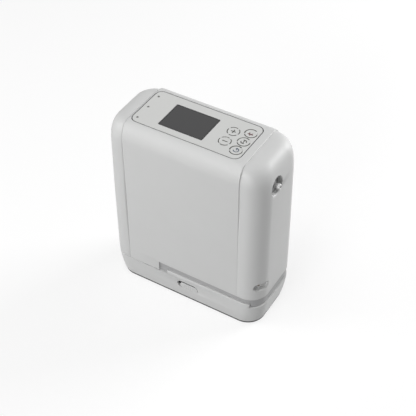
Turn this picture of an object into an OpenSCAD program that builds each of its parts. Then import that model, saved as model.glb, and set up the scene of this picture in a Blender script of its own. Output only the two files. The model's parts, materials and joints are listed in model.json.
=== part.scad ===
// Portable oxygen concentrator, in millimetres.
// +X points to the gas outlet end, -Y to the front, +Z up; the origin is the middle of the base pad.

/* [Housing] */
// Length along X, without the outlet barb
body_l = 186; // [180:1:192]
// Width along Y
body_w = 80; // [78:1:84]
// Height from the table to the top
body_h = 216.5; // [212:0.5:224]
// Plan radius of the four upright corners
corner_r = 20.6; // [18:0.2:22]
// Wall thickness of the moulded shells
wall = 2.4; // [2:0.1:3]
// How far the end caps lie below the centre shell at the top seams
seam_step = 0.9; // [0:0.1:1.5]

/* [Rounding] */
// Reach of the shoulders along X
shoulder_x = 24; // [20:1:28]
// Reach of the shoulders down the ends
shoulder_z = 50; // [44:1:56]
// Reach of the long top edges along Y
edge_y = 12.5; // [10:0.5:14]
// Reach of the long top edges down the faces
edge_z = 15; // [12:1:18]
// Depth of the softer rounding along the front's top edge
front_edge_z = 22; // [18:1:24]
// How far each end draws in at the bottom
draw_in_x = 4.8; // [2:0.2:6]
// How far each face draws in at the bottom
draw_in_y = 2.7; // [1:0.1:3]
// Height over which the bottom draws in
draw_in_h = 35; // [30:1:40]

/* [Seams] */
// X of the seam between the left cap and the centre shell
seam_left = -69; // [-70:0.5:-68.4]
// X of the seam between the centre shell and the right cap
seam_right = 66.5; // [62:0.5:68]
// Height of the seam between battery and housing
battery_seam = 29; // [28.8:0.1:29.4]
// Top of the recessed chassis band
band_top = 41; // [40:0.5:42]
// How deep the band lies behind the faces
band_depth = 1.8; // [1.5:0.1:2.2]
// Left end of the block that stops the battery
block_left = -31; // [-34:0.5:-28]
// Left end of the battery's raised lip
lip_left = -21; // [-23:0.5:-19]
// Right end of the battery's raised lip
lip_right = 81; // [78:0.5:82]
// Top of the battery's raised lip
lip_top = 33.2; // [32:0.1:33.4]

/* [Control panel] */
// Left edge of the panel overlay
panel_left = -67.1; // [-68:0.1:-66.5]
// Right edge of the panel overlay
panel_right = 58.3; // [57:0.1:60]
// Width of the panel overlay
panel_w = 57; // [54:0.5:58]
// Thickness of the panel overlay
panel_t = 1.2; // [0.8:0.1:1.5]
// Radius of a key's cap
key_r = 5.7; // [5:0.1:5.8]
// How far a key travels when it is pressed
key_travel = 0.6; // [0.3:0.1:0.8]

/* [Outlet] */
// Height of the outlet's axis
outlet_z = 187.2; // [184:0.4:188]
// Radius of the round cup around the outlet
outlet_cup_r = 10.4; // [10:0.2:12]
// Radius of the outlet's barb
barb_r = 3; // [2.5:0.1:3.2]

/* [Battery] */
// Number of cells in the battery
cell_count = 8; // [6:1:8]
// Travel of the release slider
latch_travel = 3; // [2:0.5:3]

/* [Hidden] */

$fn = 64;
eps = 0.05;
far = 400;

shell_white = [0.86, 0.86, 0.85];
panel_white = [0.88, 0.88, 0.87];
band_grey = [0.5, 0.5, 0.5];
glass_dark = [0.09, 0.09, 0.1];
board_green = [0.1, 0.36, 0.2];
metal_bright = [0.8, 0.8, 0.82];
metal_dark = [0.45, 0.46, 0.48];
plastic_black = [0.12, 0.12, 0.12];
rubber_grey = [0.25, 0.25, 0.26];
contact_gold = [0.83, 0.67, 0.3];
cell_blue = [0.2, 0.4, 0.6];
foam_grey = [0.3, 0.3, 0.32];
tube_clear = [0.85, 0.87, 0.88];

half_l = body_l / 2;
half_w = body_w / 2;
shoulder_power = 3.7;
edge_power = 2.3;
front_edge_power = 2;
top_wall = 3.4;
pad_t = 1.4;
pad_inset = 0.9;
seat_gap = 0.4;
battery_top = battery_seam - seat_gap;
seam_fade_low = 105;
seam_fade_high = 180;

// Control panel
panel_mid = (panel_left + panel_right) / 2;
panel_l = panel_right - panel_left;
panel_corner_r = 8;
panel_z = body_h - panel_t;
window_x = [-38, 12.8];
window_y = [-19.9, 17.1];
window_corner_r = 1.2;
display_margin = 3.2;
key_gap = 0.3;
key_flange_r = key_r + 0.9;
key_proud = 0.15;
key_stem_r = 2;
switch_body_h = 2;
switch_h = 2.5;
key_plus_at = [32.5, 8];
key_minus_at = [32.5, -9];
key_alarm_at = [48.9, 13.8];
key_mode_at = [48.9, -0.9];
key_power_at = [48.9, -15.6];
KEYS = [key_plus_at, key_minus_at, key_alarm_at, key_mode_at, key_power_at];
lens_x = -61.2;
lens_ys = [18.1, -1.3, -20.9];
lens_r = 1.2;
board_t = 1.6;
keypad_z = body_h - 10.5;
control_z = body_h - 13;
bracket_z = body_h - 17;
key_foot_z = keypad_z + board_t + switch_h + 2 * key_travel;
key_flange_z = body_h - 2.8;
bracket_t = 2;
bracket_posts = [for (x = [-65.5, 16, 63], y = [-24, 24]) [x, y]];
keypad_studs = [for (x = [26, 57], y = [-20, 20]) [x, y]];
screw_places = [[-78, 24], [-78, -24], [58, -27], [80, -6]];
screw_r = 1.5;
screw_l = 10;
screw_head_r = 2.6;
screw_head_h = 1.8;

// Outlet end
outlet_y = -11;
outlet_depth = 5.5;
cup_lip = 1.6;
cup_floor_x = half_l - outlet_depth;
barb_tip_x = half_l + 3.4;
barb_neck_r = 2.6;
barb_shank_r = 2.4;
barb_bore_r = 1.5;
barb_collar_r = 4.2;
seal_t = 0.8;
shank_hole_r = 2.6;
port_angle = -28;
port_z = 58.5;
port_w = 18;
port_h = 10;
port_depth = 5.2;
port_corner_r = 4.4;
jack_r = 4.4;
jack_bore_r = 2.75;
jack_depth = 14;
jack_pin_r = 0.95;

// Air openings
intake_x = -26;
intake_z = 96;
intake_w = 76;
intake_h = 52;
cover_t = 1.4;
filter_t = 4.4;
cover_pitch = 4.6;
cover_slot = 2.2;
exhaust_z = 115;
exhaust_w = 34;
exhaust_h = 58;

// Inner frame and pump
frame_base_z = band_top;
frame_t = 2;
bulkhead_x = 14;
pump_x = -40;
pump_z = 115;
crankcase_r = 21;
crankcase_w = 32;
cylinder_r = 15;
head_r = 18;
head_gap = 42;
head_t = 12;
piston_r = cylinder_r - 2.5;
fin_t = 1.5;
fin_pitch = 4;
shaft_hole_r = 5;
isolator_at = 9;
motor_r = 23;
motor_l = 42;
motor_x0 = pump_x + crankcase_w / 2;
shaft_r = 3;
shaft_gap = 0.05;
fan_x = -84;
fan_size = 60;
fan_t = 12;
fan_bore_r = 27.5;
fan_hub_r = 11;
fan_blades = 7;
fan_screw_at = 26;
fan_screw_r = 2.1;
fan_shaft_r = 1.2;
fan_spider_t = 2;
fan_arm_w = 2.4;
fan_blade_t = 1.2;
fan_blade_l = 8;
fan_blade_pitch = 38;

// Gas bay
sieve_r = 16.5;
sieve_wall = 1.2;
sieve_x = 36;
sieve_y = 17.4;
sieve_z = frame_base_z + frame_t;
sieve_h = 122;
sieve_cap_t = 6;
manifold_z = sieve_z + sieve_h + 2 * sieve_cap_t;
tank_r = 14;
hose_r = 2.6;
tank_x = 70;
tank_y = 16;

// Battery
rail_y = 22;
rail_left = -84;
rail_right = 60;
rail_stem = 4;
rail_head = 9;
rail_gap = 0.5;
rail_head_z = [24.1, 26.4];
slot_z = [23.4, 26.6];
tray_floor = 2.8;
cavity_x = 86.2;
cavity_y = 35.3;
cavity_r = 17;
ledge = 1.7;
lid_z = 22;
lid_gap = 0.3;
trough_y = 11;
trough_z = 23;
terminal_x = [-62, -46];
blade_x = [-59, -50];
blade_ys = [-7.5, -2.5, 2.5, 7.5];
blade_t = 0.8;
cell_r = 9.15;
cell_l = 65;
cell_pitch = 19;
cell_z = tray_floor + cell_r;
lip_inner = 35.8;
latch_x = 5;
latch_z = 20.7;
latch_w = 26;
latch_h = 10.4;
latch_floor_y = -36.6;
latch_gap = 0.4;
thumb_w = latch_w - latch_travel - 2.5 * latch_gap;
thumb_h = 9.6;
thumb_x = latch_x + (latch_w - thumb_w) / 2 - 1.5 * latch_gap;
thumb_z = latch_z - 0.2;
thumb_face_y = -39.35;
thumb_groove_pitch = 2.6;
thumb_groove_w = 0.8;
thumb_groove_h = 5.2;
arm_x = [0.4, 4];
arm_h = 3;
arm_slot_left = 6.4;
bolt_y = [-34.8, -33];
spring_r = 0.9;
spring_at = [-34, 17.2];
spring_x = [-7.7, 5.3];
spring_wire_r = 0.25;
spring_turns = 6;

// ---- outline of the housing ----

// How far a rounded profile lies inside its full width at height z.
function inset_at(z, top, across, down, power) =
    let (u = max(0, min(1, (z - top + down) / down)))
    across * (1 - pow(max(0, 1 - pow(u, power)), 1 / power));

function draw_in(z) = pow(max(0, 1 - z / draw_in_h), 2);

function outline_x(z) =
    half_l - draw_in_x * draw_in(z) - inset_at(z, body_h, shoulder_x, shoulder_z, shoulder_power);

function outline_y(z) =
    half_w - draw_in_y * draw_in(z) - inset_at(z, body_h, edge_y, edge_z, edge_power);

// How much further in the front lies than the back, because its top edge is rounded more softly.
function front_in(z) =
    inset_at(z, body_h, edge_y, front_edge_z, front_edge_power)
    - inset_at(z, body_h, edge_y, edge_z, edge_power);

// Height on the long top edge's curve at a given angle.
function edge_level(angle) = body_h - edge_z + edge_z * pow(sin(angle), 2 / edge_power);

// Height on the shoulder's curve at a given angle.
function shoulder_level(angle) =
    body_h - shoulder_z + shoulder_z * pow(sin(angle), 2 / shoulder_power);

// The end caps lie lower than the centre shell at the top and meet it flush lower down.
function sink_at(z) =
    let (u = max(0, min(1, (z - seam_fade_low) / (seam_fade_high - seam_fade_low))))
    seam_step * u * u * (3 - 2 * u);

// A rounded rectangle at height z; its front side lies further in by a given distance.
function ring(hx, hy, front, r, z, steps) = [
    for (q = [0:3], i = [0:steps])
        let (a = 90 * q + 90 * i / steps)
        [(q == 0 || q == 3 ? 1 : -1) * (hx - r) + r * cos(a),
         (q < 2 ? hy - r : front + r - hy) + r * sin(a), z]
];

// One ring of the outside at height z, grown by a distance and sunk by a share of the seam step.
function body_ring(z, grow, sunk, steps) =
    ring(outline_x(z) + grow, outline_y(z) + grow - sunk * sink_at(z), front_in(z), corner_r + grow,
         z - sunk * sink_at(z), steps);

// One ring of the hollow inside the walls, whose roof is thicker than its walls.
function hollow_ring(z) =
    ring(outline_x(z + top_wall) - wall, outline_y(z + top_wall) - wall, front_in(z + top_wall),
         corner_r - wall, z, 4);

low_levels = [6, 12, 19, 27];
shoulder_levels = [for (a = [2, 8, 16, 26]) shoulder_level(a)];
edge_levels = [for (a = [6:12:78]) edge_level(a)];
roof_levels = [edge_level(84), body_h];

module loft(rings) {
    n = len(rings[0]);
    m = len(rings);
    polyhedron(
        points = [for (r = rings) each r],
        faces = concat(
            [[for (i = [0:n - 1]) i]],
            [[for (i = [n - 1:-1:0]) (m - 1) * n + i]],
            [for (k = [0:m - 2], i = [0:n - 1], t = [0, 1])
                let (a = k * n + i, b = k * n + (i + 1) % n)
                t == 0 ? [a, a + n, b] : [b, a + n, b + n]]
        ));
}

module housing_form(bottom, sunk) {
    levels = concat([bottom, seam_fade_low, 130, 155], shoulder_levels, edge_levels, roof_levels);
    loft([for (z = levels) body_ring(z, 0, sunk, 7)]);
}

module housing_hollow(bottom) {
    levels = concat([bottom, 160], [for (a = [8, 20]) shoulder_level(a) - top_wall],
                    [for (a = [14, 34, 56, 78]) edge_level(a) - top_wall], [body_h - top_wall]);
    loft([for (z = levels) hollow_ring(z)]);
}

// ---- shared shapes ----

module rounded_rect(w, d, r) {
    square([w - 2 * r, d], center = true);
    square([w, d - 2 * r], center = true);
    for (x = [-1, 1], y = [-1, 1])
        translate([x * (w / 2 - r), y * (d / 2 - r)]) circle(r);
}

module rounded_plate(w, d, r, h) linear_extrude(h) rounded_rect(w, d, r);

module box(x, y, z) translate([x[0], y[0], z[0]]) cube([x[1] - x[0], y[1] - y[0], z[1] - z[0]]);

module rod_x(r, x0, x1) translate([x0, 0, 0]) rotate([0, 90, 0]) cylinder(r = r, h = x1 - x0);

// Stands a flat shape up against the front (-Y) or back (+Y), its base at y and growing to y + depth.
module upright(y, depth) translate([0, y + depth, 0]) rotate([90, 0, 0]) linear_extrude(depth) children();

// Stands a flat shape up across X, its base at x and growing to x + depth; its x runs along Y.
module crosswise(x, depth) translate([x, 0, 0]) rotate([90, 0, 90]) linear_extrude(depth) children();

function unit(v) = v / norm(v);

function sweep_ring(p, t, side, r, n) =
    let (u = unit(cross(t, side)), v = cross(t, u))
    [for (i = [0:n - 1]) p + r * (cos(360 * i / n) * u + sin(360 * i / n) * v)];

// A round tube along a path; side is a direction that the path never runs along.
module sweep(path, r, side, n = 8) {
    last = len(path) - 1;
    loft([for (i = [0:last])
        sweep_ring(path[i], unit(path[min(last, i + 1)] - path[max(0, i - 1)]), side, r, n)]);
}

// A hose that leaves a along one direction and reaches b along another, as one smooth curve.
function hose(a, da, db, b, steps = 9) = concat(
    [a],
    [for (i = [0:steps])
        let (t = i / steps, s = 1 - t, p = a + unit(da), q = b + unit(db))
        s * s * s * p + 3 * s * s * t * (p + da) + 3 * s * t * t * (q + db) + t * t * t * q],
    [b]);

// ---- outer shells ----

module panel_outline(gap = 0)
    translate([panel_mid, 0]) rounded_rect(panel_l + 2 * gap, panel_w + 2 * gap, panel_corner_r + gap);

module window_outline(gap = 0)
    translate([(window_x[0] + window_x[1]) / 2, (window_y[0] + window_y[1]) / 2])
        rounded_rect(window_x[1] - window_x[0] + 2 * gap, window_y[1] - window_y[0] + 2 * gap,
                     window_corner_r + gap);

module display_opening(gap)
    translate([window_x[0] + display_margin - gap, window_y[0] + display_margin - gap])
        square([window_x[1] - window_x[0] - 2 * display_margin + 2 * gap,
                window_y[1] - window_y[0] - 2 * display_margin + 2 * gap]);

module lens_spots(r) for (y = lens_ys) translate([lens_x, y]) circle(r);

module centre_shell() color(shell_white) difference() {
    intersection() {
        housing_form(battery_seam, 0);
        box([seam_left, seam_right], [-far, far], [0, far]);
    }
    housing_hollow(battery_seam - 1);
    box([block_left, far], [-far, far], [0, band_top]);
    translate([0, 0, panel_z]) linear_extrude(far) panel_outline();
    translate([0, 0, body_h - 10]) linear_extrude(far) {
        display_opening(0.2);
        lens_spots(lens_r + 0.05);
        for (k = KEYS) translate(k) circle(key_flange_r + key_gap + 0.05);
    }
    translate([intake_x, 0, intake_z]) {
        upright(half_w - cover_t, far) rounded_rect(intake_w, intake_h, 5);
        upright(half_w - 8, far) rounded_rect(intake_w - 10, intake_h - 10, 3);
    }
}

module left_end_cap() color(shell_white) difference() {
    intersection() {
        housing_form(battery_seam, 1);
        box([-far, seam_left], [-far, far], [0, far]);
    }
    housing_hollow(battery_seam - 1);
    translate([0, 0, exhaust_z]) {
        crosswise(-far, far - half_l + cover_t) rounded_rect(exhaust_w, exhaust_h, 5);
        crosswise(-far, far - half_l + 8) rounded_rect(exhaust_w - 6, exhaust_h - 6, 3);
    }
}

// Places children with +Z along the inlet's axis, outwards, and the origin on the corner's surface.
module at_port()
    translate([half_l - corner_r, -half_w + corner_r, port_z]) rotate([0, 0, port_angle])
        translate([corner_r, 0, 0]) rotate([90, 0, 90]) children();

// Room of the outlet's round cup, with its mouth rolled outwards.
module outlet_cup_room()
    translate([0, outlet_y, outlet_z]) rotate([0, 90, 0]) rotate_extrude() polygon(concat(
        [[0, cup_floor_x], [outlet_cup_r, cup_floor_x]],
        [for (a = [0:30:90]) [outlet_cup_r + cup_lip * (1 - cos(a)), half_l - cup_lip * (1 - sin(a))]],
        [[outlet_cup_r + cup_lip, half_l + 10], [0, half_l + 10]]));

module right_end_cap() color(shell_white) difference() {
    union() {
        difference() {
            intersection() {
                housing_form(band_top, 1);
                box([seam_right, far], [-far, far], [0, far]);
            }
            housing_hollow(band_top - 1);
        }
        translate([0, outlet_y, outlet_z]) rod_x(outlet_cup_r + wall, cup_floor_x - wall, half_l - 2.2);
        at_port() translate([-port_w / 2 - 1.6, -port_h / 2 - 2, -port_depth - wall])
            cube([port_w + 3.2, port_h + 4, wall + port_depth - 3]);
    }
    outlet_cup_room();
    translate([0, outlet_y, outlet_z]) rod_x(shank_hole_r, cup_floor_x - 10, half_l);
    at_port() {
        translate([0, 0, -port_depth]) linear_extrude(20) rounded_rect(port_w, port_h, port_corner_r);
        translate([0, 0, -20]) cylinder(r = jack_r + 0.1, h = 20);
    }
}

// ---- chassis and battery rails ----

module lower_chassis() color(band_grey) {
    band_l = body_l - 2 * band_depth;
    band_w = body_w - 2 * band_depth;
    skirt_w = 2 * (lip_inner - rail_gap);
    difference() {
        union() {
            translate([0, 0, battery_seam + 4.6]) intersection() {
                rounded_plate(band_l, band_w, corner_r - band_depth, band_top - battery_seam - 4.6);
                box([block_left + 0.1, far], [-far, far], [-1, far]);
            }
            translate([0, 0, battery_seam]) intersection() {
                rounded_plate(band_l, band_w, corner_r - band_depth, 4.7);
                union() {
                    box([block_left + 0.1, lip_left - 0.3], [-far, far], [-1, far]);
                    box([lip_left - 0.4, far], [-skirt_w / 2, skirt_w / 2], [-1, far]);
                }
            }
            translate([0, 0, battery_seam]) intersection() {
                rounded_plate(body_l - 2 * wall - 1, body_w - 2 * wall - 1, corner_r - wall - 0.5,
                              band_top - battery_seam);
                box([-far, block_left + 0.2], [-far, far], [-1, far]);
            }
        }
        // room above the terminals for the contact blades
        box([terminal_x[0] - 4, terminal_x[1] + 4], [-trough_y, trough_y], [battery_seam - 1, 36]);
        // catch pocket for the battery's bolt
        box([-7.5, -1], [-far, bolt_y[1] + 0.4], [battery_seam - 1, battery_seam + 3]);
        for (p = screw_places)
            translate([p[0], p[1], band_top - 7.5]) cylinder(r = screw_r + 0.05, h = screw_l);
    }
    for (s = [-1, 1]) translate([0, s * rail_y, 0]) {
        box([rail_left, rail_right], [-rail_stem / 2, rail_stem / 2],
            [rail_head_z[0] + 0.5, battery_seam + 0.5]);
        box([rail_left, rail_right], [-rail_head / 2, rail_head / 2], rail_head_z);
    }
}

module chassis_contacts() color(contact_gold)
    for (y = blade_ys)
        box(blade_x, [y - blade_t / 2, y + blade_t / 2], [trough_z + 1.6, 36]);

module chassis_screws() color(metal_bright)
    for (p = screw_places) translate([p[0], p[1], band_top]) difference() {
        union() {
            translate([0, 0, frame_t]) cylinder(r = screw_head_r, h = screw_head_h);
            translate([0, 0, frame_t + 1 - screw_l]) cylinder(r = screw_r, h = screw_l);
        }
        translate([0, 0, frame_t + 0.8]) cylinder(r = 1.2, h = 3, $fn = 6);
    }

// ---- control panel ----

module control_panel() color(panel_white) translate([0, 0, panel_z]) linear_extrude(panel_t) difference() {
    panel_outline(-0.05);
    window_outline(0.05);
    lens_spots(lens_r + 0.05);
    for (k = KEYS) translate(k) circle(key_r + key_gap);
}

module display_window() color(glass_dark) translate([0, 0, panel_z]) linear_extrude(panel_t) window_outline();

module display_module() color(plastic_black) {
    translate([0, 0, body_h - 6]) linear_extrude(6 - panel_t - 0.05) display_opening(0);
    translate([0, 0, body_h - 7]) linear_extrude(1.05) display_opening(2.4);
}

// A key: cap above the panel, flange under it and a stem over its switch.
module key_at(place) color(panel_white) translate(place) rotate_extrude() polygon([
    [0, key_foot_z], [key_stem_r, key_foot_z], [key_stem_r, key_flange_z], [key_flange_r, key_flange_z],
    [key_flange_r, panel_z], [key_r, panel_z], [key_r, body_h - 0.1],
    [key_r - 0.3, body_h + key_proud], [0, body_h + key_proud]]);

module key_plus() key_at(key_plus_at);
module key_minus() key_at(key_minus_at);
module key_alarm() key_at(key_alarm_at);
module key_mode() key_at(key_mode_at);
module key_power() key_at(key_power_at);

module indicator_lenses() color([0.95, 0.95, 0.9])
    translate([0, 0, body_h - 8]) linear_extrude(8 + 0.1) lens_spots(lens_r);

module key_switches() color(plastic_black)
    for (k = KEYS) translate([k[0], k[1], keypad_z + board_t]) {
        translate([-3, -3, 0]) cube([6, 6, switch_body_h]);
        translate([0, 0, switch_body_h - 0.1]) cylinder(r = 1.6, h = switch_h - switch_body_h + 0.1);
    }

module keypad_board() color(board_green)
    translate([41.5, 0, keypad_z]) rounded_plate(35, 46, 2, board_t);

module control_board() color(board_green) {
    difference() {
        box([-64, 18], [-26, 26], [control_z, control_z + board_t]);
        for (p = bracket_posts) translate([p[0], p[1], 0]) cylinder(r = 3, h = far);
    }
    // processor, memory and display driver
    box([-58, -44], [-20, -6], [control_z + board_t - eps, control_z + board_t + 1.2]);
    box([-58, -48], [2, 12], [control_z + board_t - eps, control_z + board_t + 1.6]);
    box([-30, -12], [-7, 5], [control_z + board_t - eps, control_z + board_t + 1.2]);
}

module alarm_sounder() color(plastic_black) translate([6, 20.5, control_z + board_t]) difference() {
    cylinder(r = 4.5, h = 4);
    translate([0, 0, 2.5]) cylinder(r = 0.8, h = 3);
}

module display_bracket() color(band_grey) {
    translate([0, 0, bracket_z]) difference() {
        rounded_plate(138, 60, 6, bracket_t);
        translate([40, 0, -1]) rounded_plate(30, 36, 4, 5);
        translate([-45, 0, -1]) rounded_plate(24, 36, 4, 5);
    }
    for (p = bracket_posts) translate([p[0], p[1], bracket_z]) {
        cylinder(r = 2.6, h = body_h - top_wall - bracket_z - 0.9);
        cylinder(r = 3.6, h = control_z - bracket_z);
    }
    for (p = keypad_studs) translate([p[0], p[1], bracket_z]) cylinder(r = 2, h = keypad_z - bracket_z);
}

// ---- outlet and inlet at the right end ----

module outlet_barb() color(metal_bright) translate([0, outlet_y, outlet_z]) rotate([0, 90, 0])
    rotate_extrude() polygon([
        [barb_bore_r, cup_floor_x - 8], [barb_shank_r, cup_floor_x - 8], [barb_shank_r, cup_floor_x + seal_t],
        [barb_collar_r, cup_floor_x + seal_t], [barb_collar_r, cup_floor_x + seal_t + 0.8],
        [barb_neck_r, cup_floor_x + seal_t + 1.2], [barb_neck_r, barb_tip_x - 4],
        [barb_r, barb_tip_x - 3.6], [barb_r, barb_tip_x - 1.6],
        [barb_r - 0.5, barb_tip_x], [barb_bore_r, barb_tip_x]]);

module outlet_seal() color(rubber_grey) translate([0, outlet_y, outlet_z]) difference() {
    rod_x(outlet_cup_r - 0.2, cup_floor_x, cup_floor_x + seal_t);
    rod_x(shank_hole_r, cup_floor_x - 1, cup_floor_x + 2);
}

module outlet_filter() color(tube_clear) translate([0, outlet_y, outlet_z]) difference() {
    union() {
        rod_x(8, cup_floor_x - 16, cup_floor_x - 8);
        rod_x(hose_r, cup_floor_x - 24, cup_floor_x - 15.9);
    }
    rod_x(1.2, cup_floor_x - 25, cup_floor_x);
}

module power_inlet() color(plastic_black) at_port() difference() {
    union() {
        translate([0, 0, -15]) cylinder(r = jack_r, h = 15 - port_depth + 0.6);
        translate([-5.5, -5.5, -20]) cube([11, 11, 8]);
    }
    translate([0, 0, -jack_depth]) cylinder(r = jack_bore_r, h = 20);
}

module power_inlet_pin() color(contact_gold) at_port()
    translate([0, 0, -jack_depth]) cylinder(r = jack_pin_r, h = jack_depth - port_depth);

// ---- air path ----

module intake_cover() color(shell_white) translate([intake_x, 0, intake_z]) difference() {
    union() {
        upright(half_w - cover_t, cover_t) rounded_rect(intake_w - 0.8, intake_h - 0.8, 4.6);
        // snap clips behind the plate
        for (x = [-1, 1]) translate([x * (intake_w / 2 - 9), 0, 0])
            box([-1.4, 1.4], [half_w - 5, half_w - cover_t + 0.2], [-5, 5]);
    }
    for (i = [-4:4])
        translate([0, 0, i * cover_pitch]) upright(half_w - 4, 8) rounded_rect(48, cover_slot, 1.05);
}

module intake_filter() color(foam_grey)
    translate([intake_x, 0, intake_z]) upright(half_w - cover_t - filter_t, filter_t)
        square([intake_w - 24, intake_h - 14], center = true);

module exhaust_grille() color(band_grey) translate([0, 0, exhaust_z]) difference() {
    crosswise(-half_l, cover_t) rounded_rect(exhaust_w - 0.2, exhaust_h - 0.2, 4.9);
    for (i = [-5:5])
        translate([0, 0, i * cover_pitch]) crosswise(-half_l - 2, 8) rounded_rect(26, cover_slot, 1.05);
}

module fan_housing() color(plastic_black) translate([0, 0, exhaust_z]) {
    difference() {
        crosswise(fan_x, fan_t) rounded_rect(fan_size, fan_size, 3);
        rod_x(fan_bore_r, fan_x - 1, fan_x + fan_t + 1);
        for (y = [-1, 1], z = [-1, 1]) translate([0, y * fan_screw_at, z * fan_screw_at])
            rod_x(fan_screw_r, fan_x - 1, fan_x + fan_t + 1);
    }
    spider_x = [fan_x + fan_t - fan_spider_t, fan_x + fan_t];
    difference() {
        union() {
            rod_x(fan_hub_r + 0.5, spider_x[0], spider_x[1]);
            for (a = [45:90:315]) rotate([a, 0, 0])
                box(spider_x, [-fan_arm_w / 2, fan_arm_w / 2], [fan_hub_r, fan_bore_r + 0.5]);
        }
        rod_x(fan_shaft_r + shaft_gap, fan_x - 1, fan_x + fan_t + 1);
    }
}

module fan_impeller() color(plastic_black) translate([0, 0, exhaust_z]) {
    rod_x(fan_hub_r, fan_x + 1, fan_x + fan_t - fan_spider_t - 0.4);
    rod_x(fan_shaft_r, fan_x + fan_t - fan_spider_t - 1, fan_x + fan_t - 0.2);
    for (i = [0:fan_blades - 1]) rotate([i * 360 / fan_blades, 0, 0])
        translate([fan_x + fan_t / 2 - 1, 0, 0]) rotate([0, 0, fan_blade_pitch])
            box([-fan_blade_l / 2, fan_blade_l / 2], [-fan_blade_t / 2, fan_blade_t / 2],
                [fan_hub_r - 1, fan_bore_r - 1.2]);
}

module intake_silencer() color(plastic_black) translate([-12, 0, bracket_z - 18]) difference() {
    rounded_plate(40, 44, 6, 18);
    translate([0, 0, -1]) cylinder(r = 4, h = 12);
}

// ---- pump and frame ----

module inner_frame() color(metal_dark) {
    difference() {
        translate([0, 0, frame_base_z]) rounded_plate(166, 64, 6, frame_t);
        for (p = screw_places) translate([p[0], p[1], 0]) cylinder(r = screw_r + 0.2, h = far);
    }
    difference() {
        box([bulkhead_x, bulkhead_x + frame_t], [-32, 32], [frame_base_z, bracket_z]);
        for (z = [80, 150]) translate([0, 0, z]) rod_x(14, 0, 40);
    }
    difference() {
        box([fan_x + fan_t, fan_x + fan_t + frame_t], [-30, 30], [frame_base_z, exhaust_z + fan_size / 2]);
        translate([0, 0, exhaust_z]) rod_x(fan_bore_r, fan_x, 0);
    }
}

module pump_crankcase() color(metal_dark) translate([0, 0, pump_z]) difference() {
    union() {
        rod_x(crankcase_r, pump_x - crankcase_w / 2, pump_x + crankcase_w / 2);
        translate([pump_x, 0, -head_gap]) cylinder(r = cylinder_r, h = 2 * head_gap);
        // cooling fins round both cylinders
        for (i = [0:3], s = [-1, 1]) translate([pump_x, 0, s * (26 + fin_pitch * i) - fin_t / 2])
            cylinder(r = head_r, h = fin_t);
        // mounting plate in front
        translate([pump_x - 13, -24, -head_gap - 14]) cube([26, 3.5, 2 * head_gap + 28]);
    }
    rod_x(crankcase_r - 4, pump_x - crankcase_w / 2 + 3, pump_x + crankcase_w / 2 - 3);
    translate([pump_x, 0, -head_gap - 1]) cylinder(r = piston_r, h = 2 * head_gap + 2);
    rod_x(shaft_hole_r, pump_x, pump_x + crankcase_w);
}

module pump_heads() color(metal_bright) translate([pump_x, 0, pump_z])
    for (s = [0, 180]) rotate([s, 0, 0]) translate([0, 0, head_gap]) difference() {
        cylinder(r = head_r, h = head_t);
        for (x = [-12:4:12]) translate([x - 0.9, -30, 5]) cube([1.8, 60, 20]);
        translate([0, 0, -1]) cylinder(r = 3, h = 4);
    }

module pump_pistons() color(metal_bright) translate([pump_x, 0, pump_z])
    for (s = [0, 180]) rotate([s, 0, 0]) {
        translate([0, 0, 34]) cylinder(r = piston_r, h = 4);
        translate([-2.5, -2.5, 14]) cube([5, 5, 20.1]);
    }

module motor_can() color(metal_dark) translate([0, 0, pump_z]) difference() {
    rod_x(motor_r, motor_x0, motor_x0 + motor_l - 4);
    rod_x(motor_r - 7, motor_x0 + 3, motor_x0 + motor_l - 7);
    rod_x(shaft_r + shaft_gap, motor_x0 - 1, motor_x0 + motor_l);
}

module motor_rotor() color(metal_bright) translate([0, 0, pump_z]) {
    rod_x(shaft_r, pump_x - 8, motor_x0 + motor_l - 5);
    rod_x(motor_r - 8, motor_x0 + 5, motor_x0 + motor_l - 9);
    translate([0, 0, 3]) rod_x(7, pump_x - 4, pump_x + 4);
}

module pump_isolators() color(rubber_grey)
    for (x = [-1, 1], y = [-1, 1])
        translate([pump_x + x * isolator_at, y * isolator_at, frame_base_z + frame_t]) {
            cylinder(r = 5, h = 6);
            cylinder(r = 3.2, h = pump_z - head_gap - head_t - frame_base_z - frame_t);
        }

// ---- gas separation ----

module sieve_tube(y) color(metal_bright) translate([sieve_x, y, sieve_z + sieve_cap_t]) difference() {
    cylinder(r = sieve_r, h = sieve_h);
    translate([0, 0, -1]) cylinder(r = sieve_r - sieve_wall, h = sieve_h + 2);
}

module sieve_tube_front() sieve_tube(-sieve_y);
module sieve_tube_rear() sieve_tube(sieve_y);

module sieve_caps() color(plastic_black)
    for (y = [-sieve_y, sieve_y], z = [sieve_z, sieve_z + sieve_cap_t + sieve_h])
        translate([sieve_x, y, z]) cylinder(r = sieve_r, h = sieve_cap_t);

module sieve_beds() color([0.85, 0.8, 0.7])
    for (y = [-sieve_y, sieve_y]) translate([sieve_x, y, sieve_z + sieve_cap_t])
        cylinder(r = sieve_r - sieve_wall, h = sieve_h);

module product_tank() color(plastic_black) translate([tank_x, tank_y, sieve_z]) {
    cylinder(r = tank_r, h = 96);
    translate([0, 0, 95]) cylinder(r1 = tank_r, r2 = 5, h = 8);
    translate([0, 0, 102]) cylinder(r = hose_r, h = 8);
}

module valve_manifold() color(band_grey) difference() {
    box([sieve_x - 17, sieve_x + 17], [-31, 31], [manifold_z, manifold_z + 6]);
    for (y = [-sieve_y, sieve_y]) translate([sieve_x, y, manifold_z - 1]) cylinder(r = 3, h = 10);
}

module valve_solenoids() color(metal_bright)
    for (y = [-27, -9, 9, 27], x = [-10, 10]) translate([sieve_x + x - 4, y - 4, manifold_z + 6])
        cube([8, 8, 7.2]);

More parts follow.
